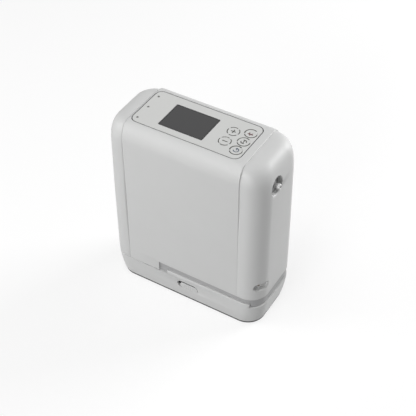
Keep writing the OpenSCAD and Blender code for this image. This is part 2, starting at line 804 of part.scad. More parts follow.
module gas_tubes() color(tube_clear) {
    // pump head to silencer
    sweep(hose([pump_x - 8, 0, pump_z + head_gap + head_t], [0, 0, 14], [-14, 0, 0], [-32, 0, 190]),
          hose_r, [0, 1, 0]);
    // product tank to outlet filter
    sweep(hose([tank_x, tank_y, sieve_z + 110], [0, 0, 18], [-14, 0, 0],
               [cup_floor_x - 24, outlet_y, outlet_z]), hose_r, [0.6, 1, 0]);
}

module breath_sensor_board() color(board_green) {
    box([bulkhead_x - board_t, bulkhead_x], [-28, -6], [142, 170]);
    translate([0, -17, 156]) rod_x(4, bulkhead_x - 7, bulkhead_x - board_t + eps);
}

// ---- battery ----

module battery_form() loft([
    body_ring(pad_t, -0.7, 0, 7), body_ring(pad_t + 0.25, -0.25, 0, 7), body_ring(pad_t + 0.8, 0, 0, 7),
    for (z = low_levels) body_ring(z, 0, 0, 7),
    body_ring(lip_top, 0, 0, 7)]);

module rail_slots(x0) for (s = [-1, 1]) translate([0, s * rail_y, 0]) {
    box([x0, rail_right + 1], [-rail_head / 2 - rail_gap, rail_head / 2 + rail_gap], slot_z);
    box([x0, rail_right + 1], [-rail_stem / 2 - rail_gap, rail_stem / 2 + rail_gap], [slot_z[0], far]);
}

module terminal_trough(x0)
    box([x0, terminal_x[1] + 0.4], [-trough_y, trough_y], [trough_z, far]);

// Stadium in the front face, as wide and high as given, from y inwards.
module front_stadium(w, h, y, depth) upright(y, depth) rounded_rect(w, h, h / 2 - 0.01);

// The battery's top is stepped down inside and beside its raised lips.
module above_the_lips() {
    box([-far, lip_left], [-far, far], [battery_top, far]);
    box([lip_right, far], [-far, far], [battery_top, far]);
    box([-far, far], [-lip_inner, lip_inner], [battery_top, far]);
}

// Room for the cells, with a ledge for the lid above it.
module tray_cavity() {
    translate([0, 0, tray_floor]) rounded_plate(2 * (cavity_x - ledge), 2 * cavity_y, cavity_r, far);
    translate([0, 0, lid_z]) rounded_plate(2 * cavity_x, 2 * cavity_y, cavity_r, far);
}

// Recess of the release thumb, and the slot that its arm passes through.
module latch_room() {
    translate([latch_x, 0, latch_z]) front_stadium(latch_w, latch_h, -half_w - 5, 5 + half_w + latch_floor_y);
    box([latch_x - arm_slot_left, latch_x + arm_x[1] + latch_gap], [-half_w, -cavity_y + 1],
        [latch_z - arm_h / 2 - latch_gap, latch_z + arm_h / 2 + latch_gap]);
}

module battery_tray() color(shell_white) {
    difference() {
        battery_form();
        above_the_lips();
        tray_cavity();
        rail_slots(-far);
        terminal_trough(-far);
        latch_room();
    }
    // rib that the latch spring bears on
    box([spring_x[0] - 2, spring_x[0]], [-cavity_y - 0.2, spring_at[0] + spring_r],
        [spring_at[1] - 1.6, spring_at[1] + 1.6]);
}

module battery_lid() color(shell_white) difference() {
    translate([0, 0, lid_z])
        rounded_plate(2 * (cavity_x - lid_gap), 2 * (cavity_y - lid_gap), cavity_r - lid_gap,
                      battery_top - lid_z);
    rail_slots(-far);
    terminal_trough(-far);
    // well for the bolt and the slider's wedge
    box([-9, 12], [-half_w, bolt_y[1] + 0.5], [lid_z - 1, far]);
}

module battery_cells() color(cell_blue)
    for (i = [0:cell_count - 1]) translate([(i - (cell_count - 1) / 2) * cell_pitch, cell_l / 2, cell_z])
        rotate([90, 0, 0]) cylinder(r = cell_r, h = cell_l);

module battery_board() color(board_green)
    box([77, 78.6], [-30, 30], [tray_floor, lid_z - 1.5]);

module battery_terminals() color(plastic_black) difference() {
    box(terminal_x, [-trough_y + 0.4, trough_y - 0.4], [trough_z, battery_top - 0.2]);
    for (y = blade_ys)
        box([terminal_x[0] - 1, blade_x[1] + 1.4], [y - blade_t / 2 - 0.4, y + blade_t / 2 + 0.4],
            [trough_z + 1, far]);
}

module latch_slider() color(shell_white) {
    difference() {
        translate([thumb_x, 0, thumb_z])
            front_stadium(thumb_w, thumb_h, thumb_face_y, latch_floor_y - thumb_face_y);
        for (i = [-2:2])
            translate([thumb_x + i * thumb_groove_pitch - thumb_groove_w / 2, thumb_face_y - 1,
                       thumb_z - thumb_groove_h / 2])
                cube([thumb_groove_w, 1.35, thumb_groove_h]);
    }
    // arm through the wall
    box([latch_x + arm_x[0], latch_x + arm_x[1]], [latch_floor_y - 0.4, bolt_y[0] + 0.6],
        [latch_z - arm_h / 2, latch_z + arm_h / 2]);
    // wedge that draws the bolt down as the thumb slides
    upright(bolt_y[0], bolt_y[1] - bolt_y[0]) polygon([
        [-0.95, 26.4], [latch_x + arm_x[0], 20.05], [latch_x + arm_x[0], spring_at[1] - 1.4],
        [latch_x + arm_x[1], spring_at[1] - 1.4], [latch_x + arm_x[1], 27], [-0.95, 27]]);
}

module latch_bolt() color(metal_bright) upright(bolt_y[0], bolt_y[1] - bolt_y[0]) polygon([
    [-6, 22.4], [2, 22.4], [2, 23.4], [-1, 26.4], [-3.4, 26.4],
    [-3.4, battery_seam - 0.25], [-6, battery_seam - 0.25]]);

module latch_spring() color(metal_bright) {
    x0 = spring_x[0] + spring_wire_r / 2;
    x1 = spring_x[1] - spring_wire_r / 2;
    steps = spring_turns * 10;
    sweep([for (i = [0:steps])
        [x0 + (x1 - x0) * i / steps, spring_at[0] + spring_r * cos(36 * i),
         spring_at[1] + spring_r * sin(36 * i)]],
        spring_wire_r, [1, 0, 0], 5);
}

module base_pad() color(rubber_grey)
    rounded_plate(2 * (outline_x(0) - pad_inset), 2 * (outline_y(0) - pad_inset),
                  corner_r - pad_inset, pad_t);

centre_shell();
left_end_cap();
right_end_cap();
lower_chassis();
control_panel();
display_window();
display_module();
key_plus();
key_minus();
key_alarm();
key_mode();
key_power();
indicator_lenses();
key_switches();
keypad_board();
control_board();
alarm_sounder();
display_bracket();
inner_frame();
outlet_barb();
outlet_seal();
outlet_filter();
power_inlet();
power_inlet_pin();
intake_cover();
intake_filter();
exhaust_grille();
fan_housing();
fan_impeller();
pump_crankcase();
pump_heads();
pump_pistons();
motor_can();
motor_rotor();
pump_isolators();
sieve_tube_front();
sieve_tube_rear();
sieve_caps();
sieve_beds();
product_tank();
valve_manifold();
valve_solenoids();
gas_tubes();
breath_sensor_board();
intake_silencer();
chassis_contacts();
chassis_screws();
battery_tray();
battery_lid();
battery_cells();
battery_board();
battery_terminals();
latch_slider();
latch_bolt();
latch_spring();
base_pad();
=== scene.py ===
"""Looks of the portable oxygen concentrator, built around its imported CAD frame.

+X points to the gas outlet end, -Y to the front, +Z up. The frame is in metres; sizes in this script are in
millimetres, and the helpers turn them into metres.
"""

import contextlib
import json
import math

import bmesh
import bpy
from mathutils import Matrix, Vector
from mathutils.bvhtree import BVHTree


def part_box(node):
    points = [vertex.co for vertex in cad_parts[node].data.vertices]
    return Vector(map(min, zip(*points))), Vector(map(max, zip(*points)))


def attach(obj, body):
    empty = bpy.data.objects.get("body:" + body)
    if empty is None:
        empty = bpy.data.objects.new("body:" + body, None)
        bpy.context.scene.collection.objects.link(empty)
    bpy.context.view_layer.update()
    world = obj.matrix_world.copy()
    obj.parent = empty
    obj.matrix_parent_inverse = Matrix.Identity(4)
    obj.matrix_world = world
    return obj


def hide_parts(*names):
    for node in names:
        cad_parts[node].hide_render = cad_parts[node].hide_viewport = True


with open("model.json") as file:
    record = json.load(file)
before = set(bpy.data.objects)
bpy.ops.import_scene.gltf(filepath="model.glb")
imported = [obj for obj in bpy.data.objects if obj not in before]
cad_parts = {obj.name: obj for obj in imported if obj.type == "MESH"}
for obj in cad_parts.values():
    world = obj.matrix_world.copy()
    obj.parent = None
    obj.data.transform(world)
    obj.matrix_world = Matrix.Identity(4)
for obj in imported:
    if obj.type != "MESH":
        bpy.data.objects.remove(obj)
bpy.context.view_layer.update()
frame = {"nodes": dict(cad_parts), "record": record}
MM = 0.001

# ---- the photograph ----

# The object's edges and features in the photograph, in pixels of its frame.
PHOTO_W = PHOTO_H = 416
PHOTO_LONG = max(PHOTO_W, PHOTO_H)
EDGE_POINTS = {"left_edge": 111.2, "right_edge": 294.2, "top_edge": 88.1, "bottom_edge": 323.8}
FEATURE_POINTS = {
    "screen": (189.3, 122.2),
    "key_plus": (233.5, 131.45),
    "key_minus": (224.8, 141.0),
    "key_alarm": (251.0, 133.6),
    "key_mode": (243.7, 141.9),
    "key_power": (236.0, 150.2),
    "lamp_rear": (158.6, 96.4),
    "lamp_middle": (148.2, 106.4),
    "lamp_front": (137.9, 117.0),
    "outlet_barb": (277.6, 185.9),
    "power_inlet": (260.9, 286.2),
    "latch": (188.9, 287.7),
}

# ---- camera: where the photograph was taken from ----

AZIMUTH = math.radians(31.15)
ELEVATION = math.radians(43.24)
ROLL = -0.005
DISTANCE = 1099.9
AIM_HEIGHT = 88.35
AIM_RIGHT = 6.52
AIM_UP = 11.75
LENS = 88.86
SENSOR = 36.0
SHIFT_X = 0.0
SHIFT_Y = 0.0


def camera_axes():
    """The camera's right, up and backward directions."""
    level = math.cos(ELEVATION)
    back = Vector((math.sin(AZIMUTH) * level, -math.cos(AZIMUTH) * level, math.sin(ELEVATION)))
    right = Vector((math.cos(AZIMUTH), math.sin(AZIMUTH), 0))
    up = back.cross(right)
    turned_right = right * math.cos(ROLL) + up * math.sin(ROLL)
    turned_up = up * math.cos(ROLL) - right * math.sin(ROLL)
    return turned_right, turned_up, back


def add_camera():
    right, up, back = camera_axes()
    place = Vector((0, 0, AIM_HEIGHT)) + back * DISTANCE + right * AIM_RIGHT + up * AIM_UP
    data = bpy.data.cameras.new("camera")
    data.sensor_fit = "AUTO"
    data.sensor_width = SENSOR
    data.lens = LENS
    data.shift_x = SHIFT_X
    data.shift_y = SHIFT_Y
    data.clip_start = 0.01
    data.clip_end = 20
    camera = bpy.data.objects.new("camera", data)
    bpy.context.scene.collection.objects.link(camera)
    camera.matrix_world = Matrix.Translation(place * MM) @ Matrix((right, up, back)).transposed().to_4x4()
    bpy.context.scene.camera = camera
    bpy.context.view_layer.update()
    return camera


camera = add_camera()


def sight_line(point):
    """Start and direction of the camera's line through a point of the photograph."""
    x, y = point
    ray = Vector((x - PHOTO_W / 2 + SHIFT_X * PHOTO_LONG, PHOTO_H / 2 - y + SHIFT_Y * PHOTO_LONG,
                  -PHOTO_LONG * LENS / SENSOR))
    turn = camera.matrix_world.to_3x3()
    return camera.matrix_world.translation.copy(), (turn @ ray).normalized()


def surface_of(objects):
    """A BVHTree of finished pieces, in the frame."""
    points, faces = [], []
    for obj in objects:
        start = len(points)
        points += [obj.matrix_world @ v.co for v in obj.data.vertices]
        faces += [[start + i for i in p.vertices] for p in obj.data.polygons]
    return BVHTree.FromPolygons(points, faces)


def on_surface(point, carriers):
    """Where the line through a point of the photograph meets the pieces that carry what is placed, in mm."""
    start, along = sight_line(point)
    tree = surface_of(carriers)
    hit = tree.ray_cast(start, along)[0]
    if hit is None:
        steps = [start + along * (0.6 + 0.002 * i) for i in range(500)]
        hit = min((tree.find_nearest(p) for p in steps), key=lambda found: found[3])[0]
    return hit / MM


def seen_at(place):
    """The pixel at which a place in the frame, in metres, shows."""
    local = camera.matrix_world.inverted() @ place
    scale = PHOTO_LONG * LENS / SENSOR / -local.z
    return (PHOTO_W / 2 - SHIFT_X * PHOTO_LONG + local.x * scale,
            PHOTO_H / 2 + SHIFT_Y * PHOTO_LONG - local.y * scale)


# ---- modelling helpers over Blender's own tools ----

AXES = {"X": 0, "Y": 1, "Z": 2}
FAR = 400


def only(obj):
    """Leaves edit mode and selects one object alone."""
    if bpy.context.mode != "OBJECT":
        bpy.ops.object.mode_set(mode="OBJECT")
    bpy.ops.object.select_all(action="DESELECT")
    obj.select_set(True)
    bpy.context.view_layer.objects.active = obj


@contextlib.contextmanager
def editing(obj):
    """Edit mode on one object, with nothing of it selected."""
    only(obj)
    bpy.ops.object.mode_set(mode="EDIT")
    bpy.ops.mesh.select_all(action="DESELECT")
    yield
    bpy.ops.object.mode_set(mode="OBJECT")


def middle_of(part):
    """The middle of a vertex, edge or face, in millimetres."""
    if isinstance(part, bmesh.types.BMVert):
        return part.co / MM
    if isinstance(part, bmesh.types.BMEdge):
        return (part.verts[0].co + part.verts[1].co) / 2 / MM
    return part.calc_center_median() / MM


def pick(kind, test):
    """In edit mode, selects only what passes a test on its middle in millimetres and on itself."""
    bpy.ops.mesh.select_mode(type=kind)
    bpy.ops.mesh.select_all(action="DESELECT")
    mesh = bmesh.from_edit_mesh(bpy.context.edit_object.data)
    for part in {"VERT": mesh.verts, "EDGE": mesh.edges, "FACE": mesh.faces}[kind]:
        if test(middle_of(part), part):
            part.select_set(True)
    bmesh.update_edit_mesh(bpy.context.edit_object.data)


def lies_along(edge, axis, tolerance=0.02):
    """Whether an edge runs along an axis."""
    run = (edge.verts[1].co - edge.verts[0].co).normalized()
    return abs(run[AXES[axis]]) > 1 - tolerance


def at(value, target, tolerance=0.02):
    return abs(value - target) < tolerance


def settle(obj):
    """Moves the object's place, turn and size into its mesh."""
    only(obj)
    bpy.ops.object.transform_apply(location=True, rotation=True, scale=True)


def named(name):
    """The piece that Blender has just made, under its name."""
    obj = bpy.context.object
    obj.name = obj.data.name = name
    return obj


def quarter(steps):
    """The angles of a quarter turn in equal steps, in radians."""
    return [math.pi / 2 * i / steps for i in range(steps + 1)]


def block(name, low, high, along=None, radius=0, segments=8):
    """A box between two corners, with its edges along one axis rounded."""
    low, high = Vector(low), Vector(high)
    bpy.ops.object.select_all(action="DESELECT")
    bpy.ops.mesh.primitive_cube_add(size=1, location=(low + high) / 2 * MM)
    obj = named(name)
    obj.scale = (high - low) * MM
    settle(obj)
    if radius:
        with editing(obj):
            pick("EDGE", lambda m, e: lies_along(e, along))
            bpy.ops.mesh.bevel(offset=radius * MM, segments=segments, affect="EDGES", clamp_overlap=False)
            bpy.ops.mesh.select_all(action="SELECT")
            bpy.ops.mesh.remove_doubles(threshold=0.03 * MM)
    return obj


def inset_block(name, low, high, axis, inset, start, end, radius=0, segments=8):
    """A block over a CAD box as seen along an axis, its sides set in, or out below 0, from start to end."""
    low, high = [place + inset for place in low], [place - inset for place in high]
    low[AXES[axis]], high[AXES[axis]] = start, end
    return block(name, low, high, axis, radius, segments)


def stand(obj, place, axis):
    """Turns a piece that was made along +Z to its axis, and moves it to its place in millimetres."""
    turn = {"X": Matrix.Rotation(math.pi / 2, 4, "Y"), "Z": Matrix.Identity(4)}[axis]
    obj.matrix_world = Matrix.Translation(Vector(place) * MM) @ turn
    settle(obj)
    return obj


def rod(name, start, length, radius, axis="Z", vertices=48):
    """A round rod from a point along an axis."""
    bpy.ops.object.select_all(action="DESELECT")
    bpy.ops.mesh.primitive_cone_add(vertices=vertices, radius1=radius * MM, radius2=radius * MM,
                                    depth=length * MM, location=(0, 0, length / 2 * MM))
    obj = named(name)
    settle(obj)
    return stand(obj, start, axis)


def turned(name, profile, axis_point, axis="Z", steps=64):
    """A piece turned on a lathe; the profile's points are (distance from the axis, place along it)."""
    bpy.ops.object.select_all(action="DESELECT")
    first = profile[0]
    bpy.ops.mesh.primitive_plane_add(size=MM, location=(first[0] * MM, 0, first[1] * MM))
    obj = named(name)
    settle(obj)
    with editing(obj):
        bpy.ops.mesh.select_mode(type="VERT")
        bpy.ops.mesh.select_all(action="SELECT")
        bpy.ops.mesh.merge(type="CENTER")
        for last, point in zip(profile, profile[1:]):
            bpy.ops.mesh.extrude_region_move(TRANSFORM_OT_translate={
                "value": ((point[0] - last[0]) * MM, 0, (point[1] - last[1]) * MM)})
        bpy.ops.mesh.select_all(action="SELECT")
        bpy.ops.mesh.spin(steps=steps, angle=2 * math.pi, center=(0, 0, 0), axis=(0, 0, 1))
        bpy.ops.mesh.select_all(action="SELECT")
        bpy.ops.mesh.remove_doubles(threshold=0.005 * MM)
        bpy.ops.mesh.normals_make_consistent(inside=False)
    return stand(obj, axis_point, axis)


def combine(obj, tool, operation="DIFFERENCE"):
    """Cuts, joins or trims one piece with another, which is used up."""
    only(obj)
    change = obj.modifiers.new("change", "BOOLEAN")
    change.operation = operation
    change.solver = "EXACT"
    change.object = tool
    bpy.ops.object.modifier_apply(modifier=change.name)
    bpy.data.objects.remove(tool)


def join(name, pieces):
    """Makes one piece of several."""
    only(pieces[0])
    for piece in pieces[1:]:
        piece.select_set(True)
    bpy.ops.object.join()
    return named(name)


def is_sharp(edge):
    """Whether the faces beside an edge meet at more than a radian."""
    return edge.calc_face_angle(0) > 1


def is_level(edge, axis="Z"):
    """Whether both ends of an edge lie at the same place on an axis."""
    start, end = (v.co[AXES[axis]] for v in edge.verts)
    return at(start, end, 1e-6)


def round_edges(obj, test, radius, segments=3):
    """Rounds the edges that pass a test."""
    with editing(obj):
        pick("EDGE", test)
        bpy.ops.mesh.bevel(offset=radius * MM, segments=segments, affect="EDGES", clamp_overlap=False)


def round_face(obj, axis, place, radius, segments=2):
    """Rounds the sharp edges of the faces that lie at a place on an axis."""
    round_edges(obj, lambda m, e: at(m[AXES[axis]], place) and is_sharp(e), radius, segments)


def smooth(obj, angle):
    only(obj)
    bpy.ops.object.shade_smooth_by_angle(angle=math.radians(angle))


SHOWN = []


def finish_piece(obj, body, look, node=None):
    """Gives a piece its finish and its body, and hides the CAD node that it stands for, if any."""
    SHOWN.append(obj)
    obj.data.materials.clear()
    obj.data.materials.append(FINISHES[look])
    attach(obj, body)
    if node:
        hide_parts(node)


def add_piece(obj, body, look, node=None, angle=32):
    """Finishes a piece whose faces are smooth up to an angle in degrees."""
    smooth(obj, angle)
    finish_piece(obj, body, look, node)
    return obj


# ---- sizes: places from the frame, and the housing's own form ----


def node_box(node):
    """A CAD node's lowest and highest corners, in millimetres."""
    low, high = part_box(node)
    return low / MM, high / MM


def node_middle(node):
    low, high = node_box(node)
    return (low + high) / 2


WRAP_LOW, WRAP_HIGH = node_box("centre_shell")
CAP_LOW, CAP_HIGH = node_box("right_end_cap")
TRAY_LOW, TRAY_HIGH = node_box("battery_tray")
PANEL_LOW, PANEL_HIGH = node_box("control_panel")
WINDOW_LOW, WINDOW_HIGH = node_box("display_window")
COVER_LOW, COVER_HIGH = node_box("intake_cover")
GRILLE_LOW, GRILLE_HIGH = node_box("exhaust_grille")

HALF_L = CAP_HIGH.x
HALF_W = WRAP_HIGH.y
TOP = WRAP_HIGH.z
SEAM_LEFT = WRAP_LOW.x
SEAM_RIGHT = WRAP_HIGH.x
SEAT = WRAP_LOW.z
BAND_TOP = CAP_LOW.z
BLOCK_LEFT = -31
CORNER_R = 20.6
WALL = 2.4
ROOF = 3.4
RIM_R = 0.4
SEAT_EDGE_R = 0.5
SHORTEST_EDGE = 0.5

SHOULDER_X = 24
SHOULDER_Z = 50
SHOULDER_POWER = 3.7
EDGE_Y = 12.5
EDGE_Z = 15
EDGE_POWER = 2.3
FRONT_EDGE_Z = 22
FRONT_EDGE_POWER = 2
DRAW_IN_X = 4.8
DRAW_IN_Y = 2.7
DRAW_IN_H = 35
SEAM_STEP = 0.9
SEAM_FADE_LOW = 105
SEAM_FADE_HIGH = 180
WRAP_RIM_LEFT = 1.8
WRAP_RIM_RIGHT = 0.8
CAP_RIM_LEFT = 1.9
CAP_RIM_RIGHT = 0.12
RIM_FADE_LOW = 60
RIM_FADE_HIGH = 100
RIM_LEAST = 0.3

# ---- the housing's outline ----


def rounded_in(z, across, down, power):
    """How far a rounded top edge lies inside the full width at a height."""
    u = min(1, max(0, (z - TOP + down) / down))
    return across * (1 - max(0, 1 - u ** power) ** (1 / power))


def front_in(z):
    """How much further in the front lies than the back, because its top edge is rounded more softly."""
    return rounded_in(z, EDGE_Y, FRONT_EDGE_Z, FRONT_EDGE_POWER) - rounded_in(z, EDGE_Y, EDGE_Z, EDGE_POWER)


def ring(z, grow=0, sunk=0):
    """Height, half length and how far back and front reach; the end caps are sunk at the top."""
    draw = max(0, 1 - z / DRAW_IN_H) ** 2
    u = min(1, max(0, (z - SEAM_FADE_LOW) / (SEAM_FADE_HIGH - SEAM_FADE_LOW)))
    sink = sunk * SEAM_STEP * u * u * (3 - 2 * u)
    half_l = HALF_L - DRAW_IN_X * draw - rounded_in(z, SHOULDER_X, SHOULDER_Z, SHOULDER_POWER)
    half_w = HALF_W - DRAW_IN_Y * draw - rounded_in(z, EDGE_Y, EDGE_Z, EDGE_POWER)
    back = half_w + grow - sink
    return z - sink, half_l + grow, back, back - front_in(z)


def top_levels():
    """Heights of the rings from the seams' fade up to the roof, close together where the form turns fast."""
    levels, heights = [], list(range(SEAM_FADE_LOW, 167, 6))
    for down, power, turns in (
            (SHOULDER_Z, SHOULDER_POWER, range(2, 88, 4)),
            (EDGE_Z, EDGE_POWER, range(4, 90, 6)),
            (FRONT_EDGE_Z, FRONT_EDGE_POWER, range(4, 90, 8))):
        heights += [TOP - down * (1 - math.sin(math.radians(a)) ** (2 / power)) for a in turns]
    for z in sorted(heights):
        if not levels or z - levels[-1] > 0.25:
            levels.append(z)
    return [z for z in levels if z < TOP - 0.02] + [TOP]


def stacked_form(name, rings, radius, segments):
    """A form with round upright corners, drawn up through a list of ring() values."""
    z, half_l, back, front = rings[0]
    form = block(name, (-half_l, -front, z), (half_l, back, rings[1][0]), "Z", radius, segments)
    with editing(form):
        for last, (z, half_l, back, front) in zip(rings, rings[1:]):
            if last is not rings[0]:
                pick("FACE", lambda m, f: f.normal.z > 0.99 and at(m.z, last[0], 0.001))
                bpy.ops.mesh.extrude_region_move(TRANSFORM_OT_translate={"value": (0, 0, (z - last[0]) * MM)})
            for axis, side, change in ((0, 1, half_l - last[1]), (0, -1, half_l - last[1]),
                                       (1, 1, back - last[2]), (1, -1, front - last[3])):
                if change:
                    pick("VERT", lambda m, v: at(m.z, z, 0.001) and m[axis] * side > 0)
                    bpy.ops.transform.translate(value=Vector((1 - axis, axis, 0)) * change * side * MM)
    return form


def end_at_seam(form, x, keep, radius, steps=4):
    """Cuts a form at a seam and rolls its rim inwards; keep is the side that stays, +1 for higher x."""
    inner = x + keep * radius
    with editing(form):
        bpy.ops.mesh.select_mode(type="FACE")
        bpy.ops.mesh.select_all(action="SELECT")
        bpy.ops.mesh.bisect(plane_co=(inner * MM, 0, 0), plane_no=(keep, 0, 0), clear_inner=True)
        pick("EDGE", lambda m, e: e.is_boundary)
        bpy.ops.transform.resize(value=(0, 1, 1), center_override=(inner * MM, 0, 0))
        last_x, last_in = inner, 0
        for turn in quarter(steps)[1:]:
            next_x = inner - keep * radius * math.sin(turn)
            next_in = radius * (1 - math.cos(turn))
            pick("EDGE", lambda m, e: e.is_boundary and at(m.x, last_x, 0.005))
            bpy.ops.mesh.extrude_region_move(TRANSFORM_OT_translate={"value": ((next_x - last_x) * MM, 0, 0)})
            bpy.ops.transform.shrink_fatten(value=(last_in - next_in) * MM)
            bpy.ops.transform.resize(value=(0, 1, 1), center_override=(next_x * MM, 0, 0))
            last_x, last_in = next_x, next_in
        pick("EDGE", lambda m, e: e.is_boundary)
        bpy.ops.mesh.edge_face_add()
        bpy.ops.mesh.select_all(action="SELECT")
        bpy.ops.mesh.normals_make_consistent(inside=False)
    return form


def fade_rim(form, x, radius, sunk):
    """Makes the rolled rim at a seam smaller lower down, where the shells meet almost without a line."""
    levels = sorted({round(v.co.z / MM, 1) for v in form.data.vertices if v.co.z < RIM_FADE_HIGH * MM})
    with editing(form):
        for level in levels:
            u = max(0, (level - RIM_FADE_LOW) / (RIM_FADE_HIGH - RIM_FADE_LOW))
            share = RIM_LEAST + (1 - RIM_LEAST) * u * u * (3 - 2 * u)
            for side in (-1, 1):
                pick("VERT", lambda m, v: at(m.z, level, 0.05) and abs(m.x - x) < radius + 0.01
                     and m.y * side > 0)
                centre = (x * MM, side * ring(level, 0, sunk)[2] * MM, level * MM)
                bpy.ops.transform.resize(value=(share, share, 1), center_override=centre)
        bpy.ops.mesh.select_all(action="SELECT")
        bpy.ops.mesh.remove_doubles(threshold=0.005 * MM)


SPARE = 8


def shell_form(name, bottom, sunk):
    """The outside of the housing from below a height up, with some spare to cut its lower rim in."""
    middle = [z for z in (DRAW_IN_H, BAND_TOP + 4) if z > bottom]
    rings = [ring(z, 0, sunk) for z in [bottom - SPARE, bottom] + middle + top_levels()]
    return stacked_form(name, rings, CORNER_R, 20)


def hollow_form(bottom):
    """The room inside the walls, under a thicker roof."""
    levels = [bottom, 160] + [z - ROOF for z in top_levels()[10::3]] + [TOP - ROOF]
    rings = []
    for z in levels:
        rings.append((z, *(reach - WALL for reach in ring(z + ROOF)[1:])))
    return stacked_form("hollow", rings, CORNER_R - WALL, 10)


def on_outside(m, margin=0.3):
    """Whether a place lies on the outside of the housing, not on a wall's inside."""
    _, half_l, half_w, _ = ring(m.z)
    corner_x, corner_y = abs(m.x) - half_l + CORNER_R, abs(m.y) - half_w + CORNER_R
    if corner_x > 0 and corner_y > 0:
        return math.hypot(corner_x, corner_y) > CORNER_R - 1 - margin
    return corner_x > CORNER_R - 1 - margin or corner_y > CORNER_R - 1 - margin


def can_round(edge):
    """Whether an edge is sharp enough to be rounded, and long enough to have room for it."""
    return is_sharp(edge) and edge.calc_length() > SHORTEST_EDGE * MM


def cut_lower_rim(shell, z, radius):
    """Cuts a shell off at a height and rounds the outer edge of its rim."""
    combine(shell, block("below", (-FAR, -FAR, -FAR), (FAR, FAR, z)))
    round_edges(shell, lambda m, e: at(m.z, z) and is_level(e) and on_outside(m) and can_round(e), radius)


# ---- finishes: one small language for shader maths ----


class Value:
    """A socket in a material; sums and products of values add Math nodes."""

    def __init__(self, paint, socket):
        self.paint, self.socket = paint, socket

    def math(self, operation, *others, swapped=False, clamp=False):
        terms = (*others, self) if swapped else (self, *others)
        sockets = dict(enumerate(terms))
        return self.paint.node("Math", {"operation": operation, "use_clamp": clamp}, sockets)

    def __add__(self, other):
        return self.math("ADD", other)

    def __sub__(self, other):
        return self.math("SUBTRACT", other)

    def __rsub__(self, other):
        return self.math("SUBTRACT", other, swapped=True)

    def __mul__(self, other):
        return self.math("MULTIPLY", other)

    __radd__ = __add__
    __rmul__ = __mul__

    def limited(self):
        """The value held between 0 and 1."""
        return self.math("ADD", 0, clamp=True)

    def size(self):
        return self.math("ABSOLUTE")

    def at_most(self, other):
        return self.math("MINIMUM", other)

    def root(self):
        return self.math("SQRT")

    def repeat(self, length):
        """Runs from 0 to length over and over, also below 0."""
        return self.math("FLOORED_MODULO", length)

    def rise(self, low, high):
        """0 below low, 1 above high and smooth between."""
        return self.paint.node("MapRange", {"interpolation_type": "SMOOTHSTEP"},
                               {"Value": self, "From Min": low, "From Max": high})


class Finish:
    """A material whose shader sockets are set to numbers, or fed by values that vary over the surface."""

    def __init__(self, name, **sockets):
        self.material = bpy.data.materials.new(name)
        self.material.use_nodes = True
        self.tree = self.material.node_tree
        self.shader = self.tree.nodes["Principled BSDF"]
        self.set(**sockets)

    def set(self, **sockets):
        """Sets the shader's sockets; a name's underscores stand for spaces."""
        for name, value in sockets.items():
            self.feed(self.shader.inputs[name.replace("_", " ")], value)

    def feed(self, socket, value):
        if isinstance(value, Value):
            self.tree.links.new(value.socket, socket)
        elif isinstance(value, (tuple, list)) and len(value) == 3 and len(socket.default_value) == 4:
            socket.default_value = (*value, 1)
        else:
            socket.default_value = value

    def node(self, kind, settings, sockets, output=0):
        """Adds a node; settings come first, then the values or links of its sockets."""
        made = self.tree.nodes.new("ShaderNode" + kind)
        for key, setting in settings.items():
            setattr(made, key, setting)
        for key, value in sockets.items():
            self.feed(made.inputs[key], value)
        return Value(self, made.outputs[output])

    def place(self, centre=(0, 0, 0)):
        """Object coordinates in millimetres about a centre, as a vector."""
        raw = self.node("TexCoord", {}, {}, "Object")
        scaled = self.node("Mapping", {}, {"Vector": raw, "Scale": (1 / MM,) * 3})
        return self.node("Mapping", {}, {"Vector": scaled, "Location": tuple(-c for c in centre)})

    def axes(self, vector):
        """The three parts of a vector, as values."""
        return [self.node("SeparateXYZ", {}, {"Vector": vector}, name) for name in "XYZ"]

    def noise(self, vector, size, detail=2, roughness=0.5):
        """Noise from 0 to 1 whose spots are about a size in millimetres."""
        return self.node("TexNoise", {}, {"Vector": vector, "Scale": 1 / size, "Detail": detail,
                                          "Roughness": roughness}, "Fac")

    def cells(self, vector, size, feature="F1", randomness=1.0):
        """Distance from the middle, or the border, of cells of a size in millimetres."""
        return self.node("TexVoronoi", {"feature": feature},
                         {"Vector": vector, "Scale": 1 / size, "Randomness": randomness}, "Distance")

    def mix(self, factor, low, high):
        """A colour between two colours."""
        made = self.tree.nodes.new("ShaderNodeMix")
        made.data_type = "RGBA"
        for index, value in ((0, factor), (6, low), (7, high)):
            self.feed(made.inputs[index], value)
        return Value(self, made.outputs[2])

    def bump(self, height, depth, strength):
        """A surface normal from a height of 0 to 1 that stands a depth in millimetres."""
        return self.node("Bump", {}, {"Height": height, "Distance": depth * MM, "Strength": strength})

    def clouded(self, spots, darker, lighter, uneven, roughness):
        """A colour and a roughness that change together with a value from 0 to 1."""
        self.set(Base_Color=self.mix(spots, darker, lighter),
                 Roughness=(spots * uneven + roughness).limited())


def grey(level):
    return (level, level, level)


def shade(colour, factor):
    """A colour made darker or lighter."""
    return tuple(part * factor for part in colour)


def moulded_plastic(name, colour, roughness, grain=0.45, depth=0.02, mottle=0.03):
    """Matt moulded plastic: spark-eroded grain, faint flow marks and slightly uneven gloss."""
    paint = Finish(name)
    place = paint.place()
    flow = paint.noise(place, 38, detail=3, roughness=0.6)
    fine = paint.noise(place, grain, detail=3, roughness=0.65)
    patches = paint.noise(place, 9, detail=4, roughness=0.7)
    spots = (flow * 0.7 + fine * 0.3).limited()
    paint.set(Base_Color=paint.mix(spots, shade(colour, 1 - mottle), shade(colour, 1 + mottle)),
              Roughness=(roughness + (patches - 0.5) * 0.12).limited(),
              Normal=paint.bump(fine, depth, 0.5))
    return paint.material


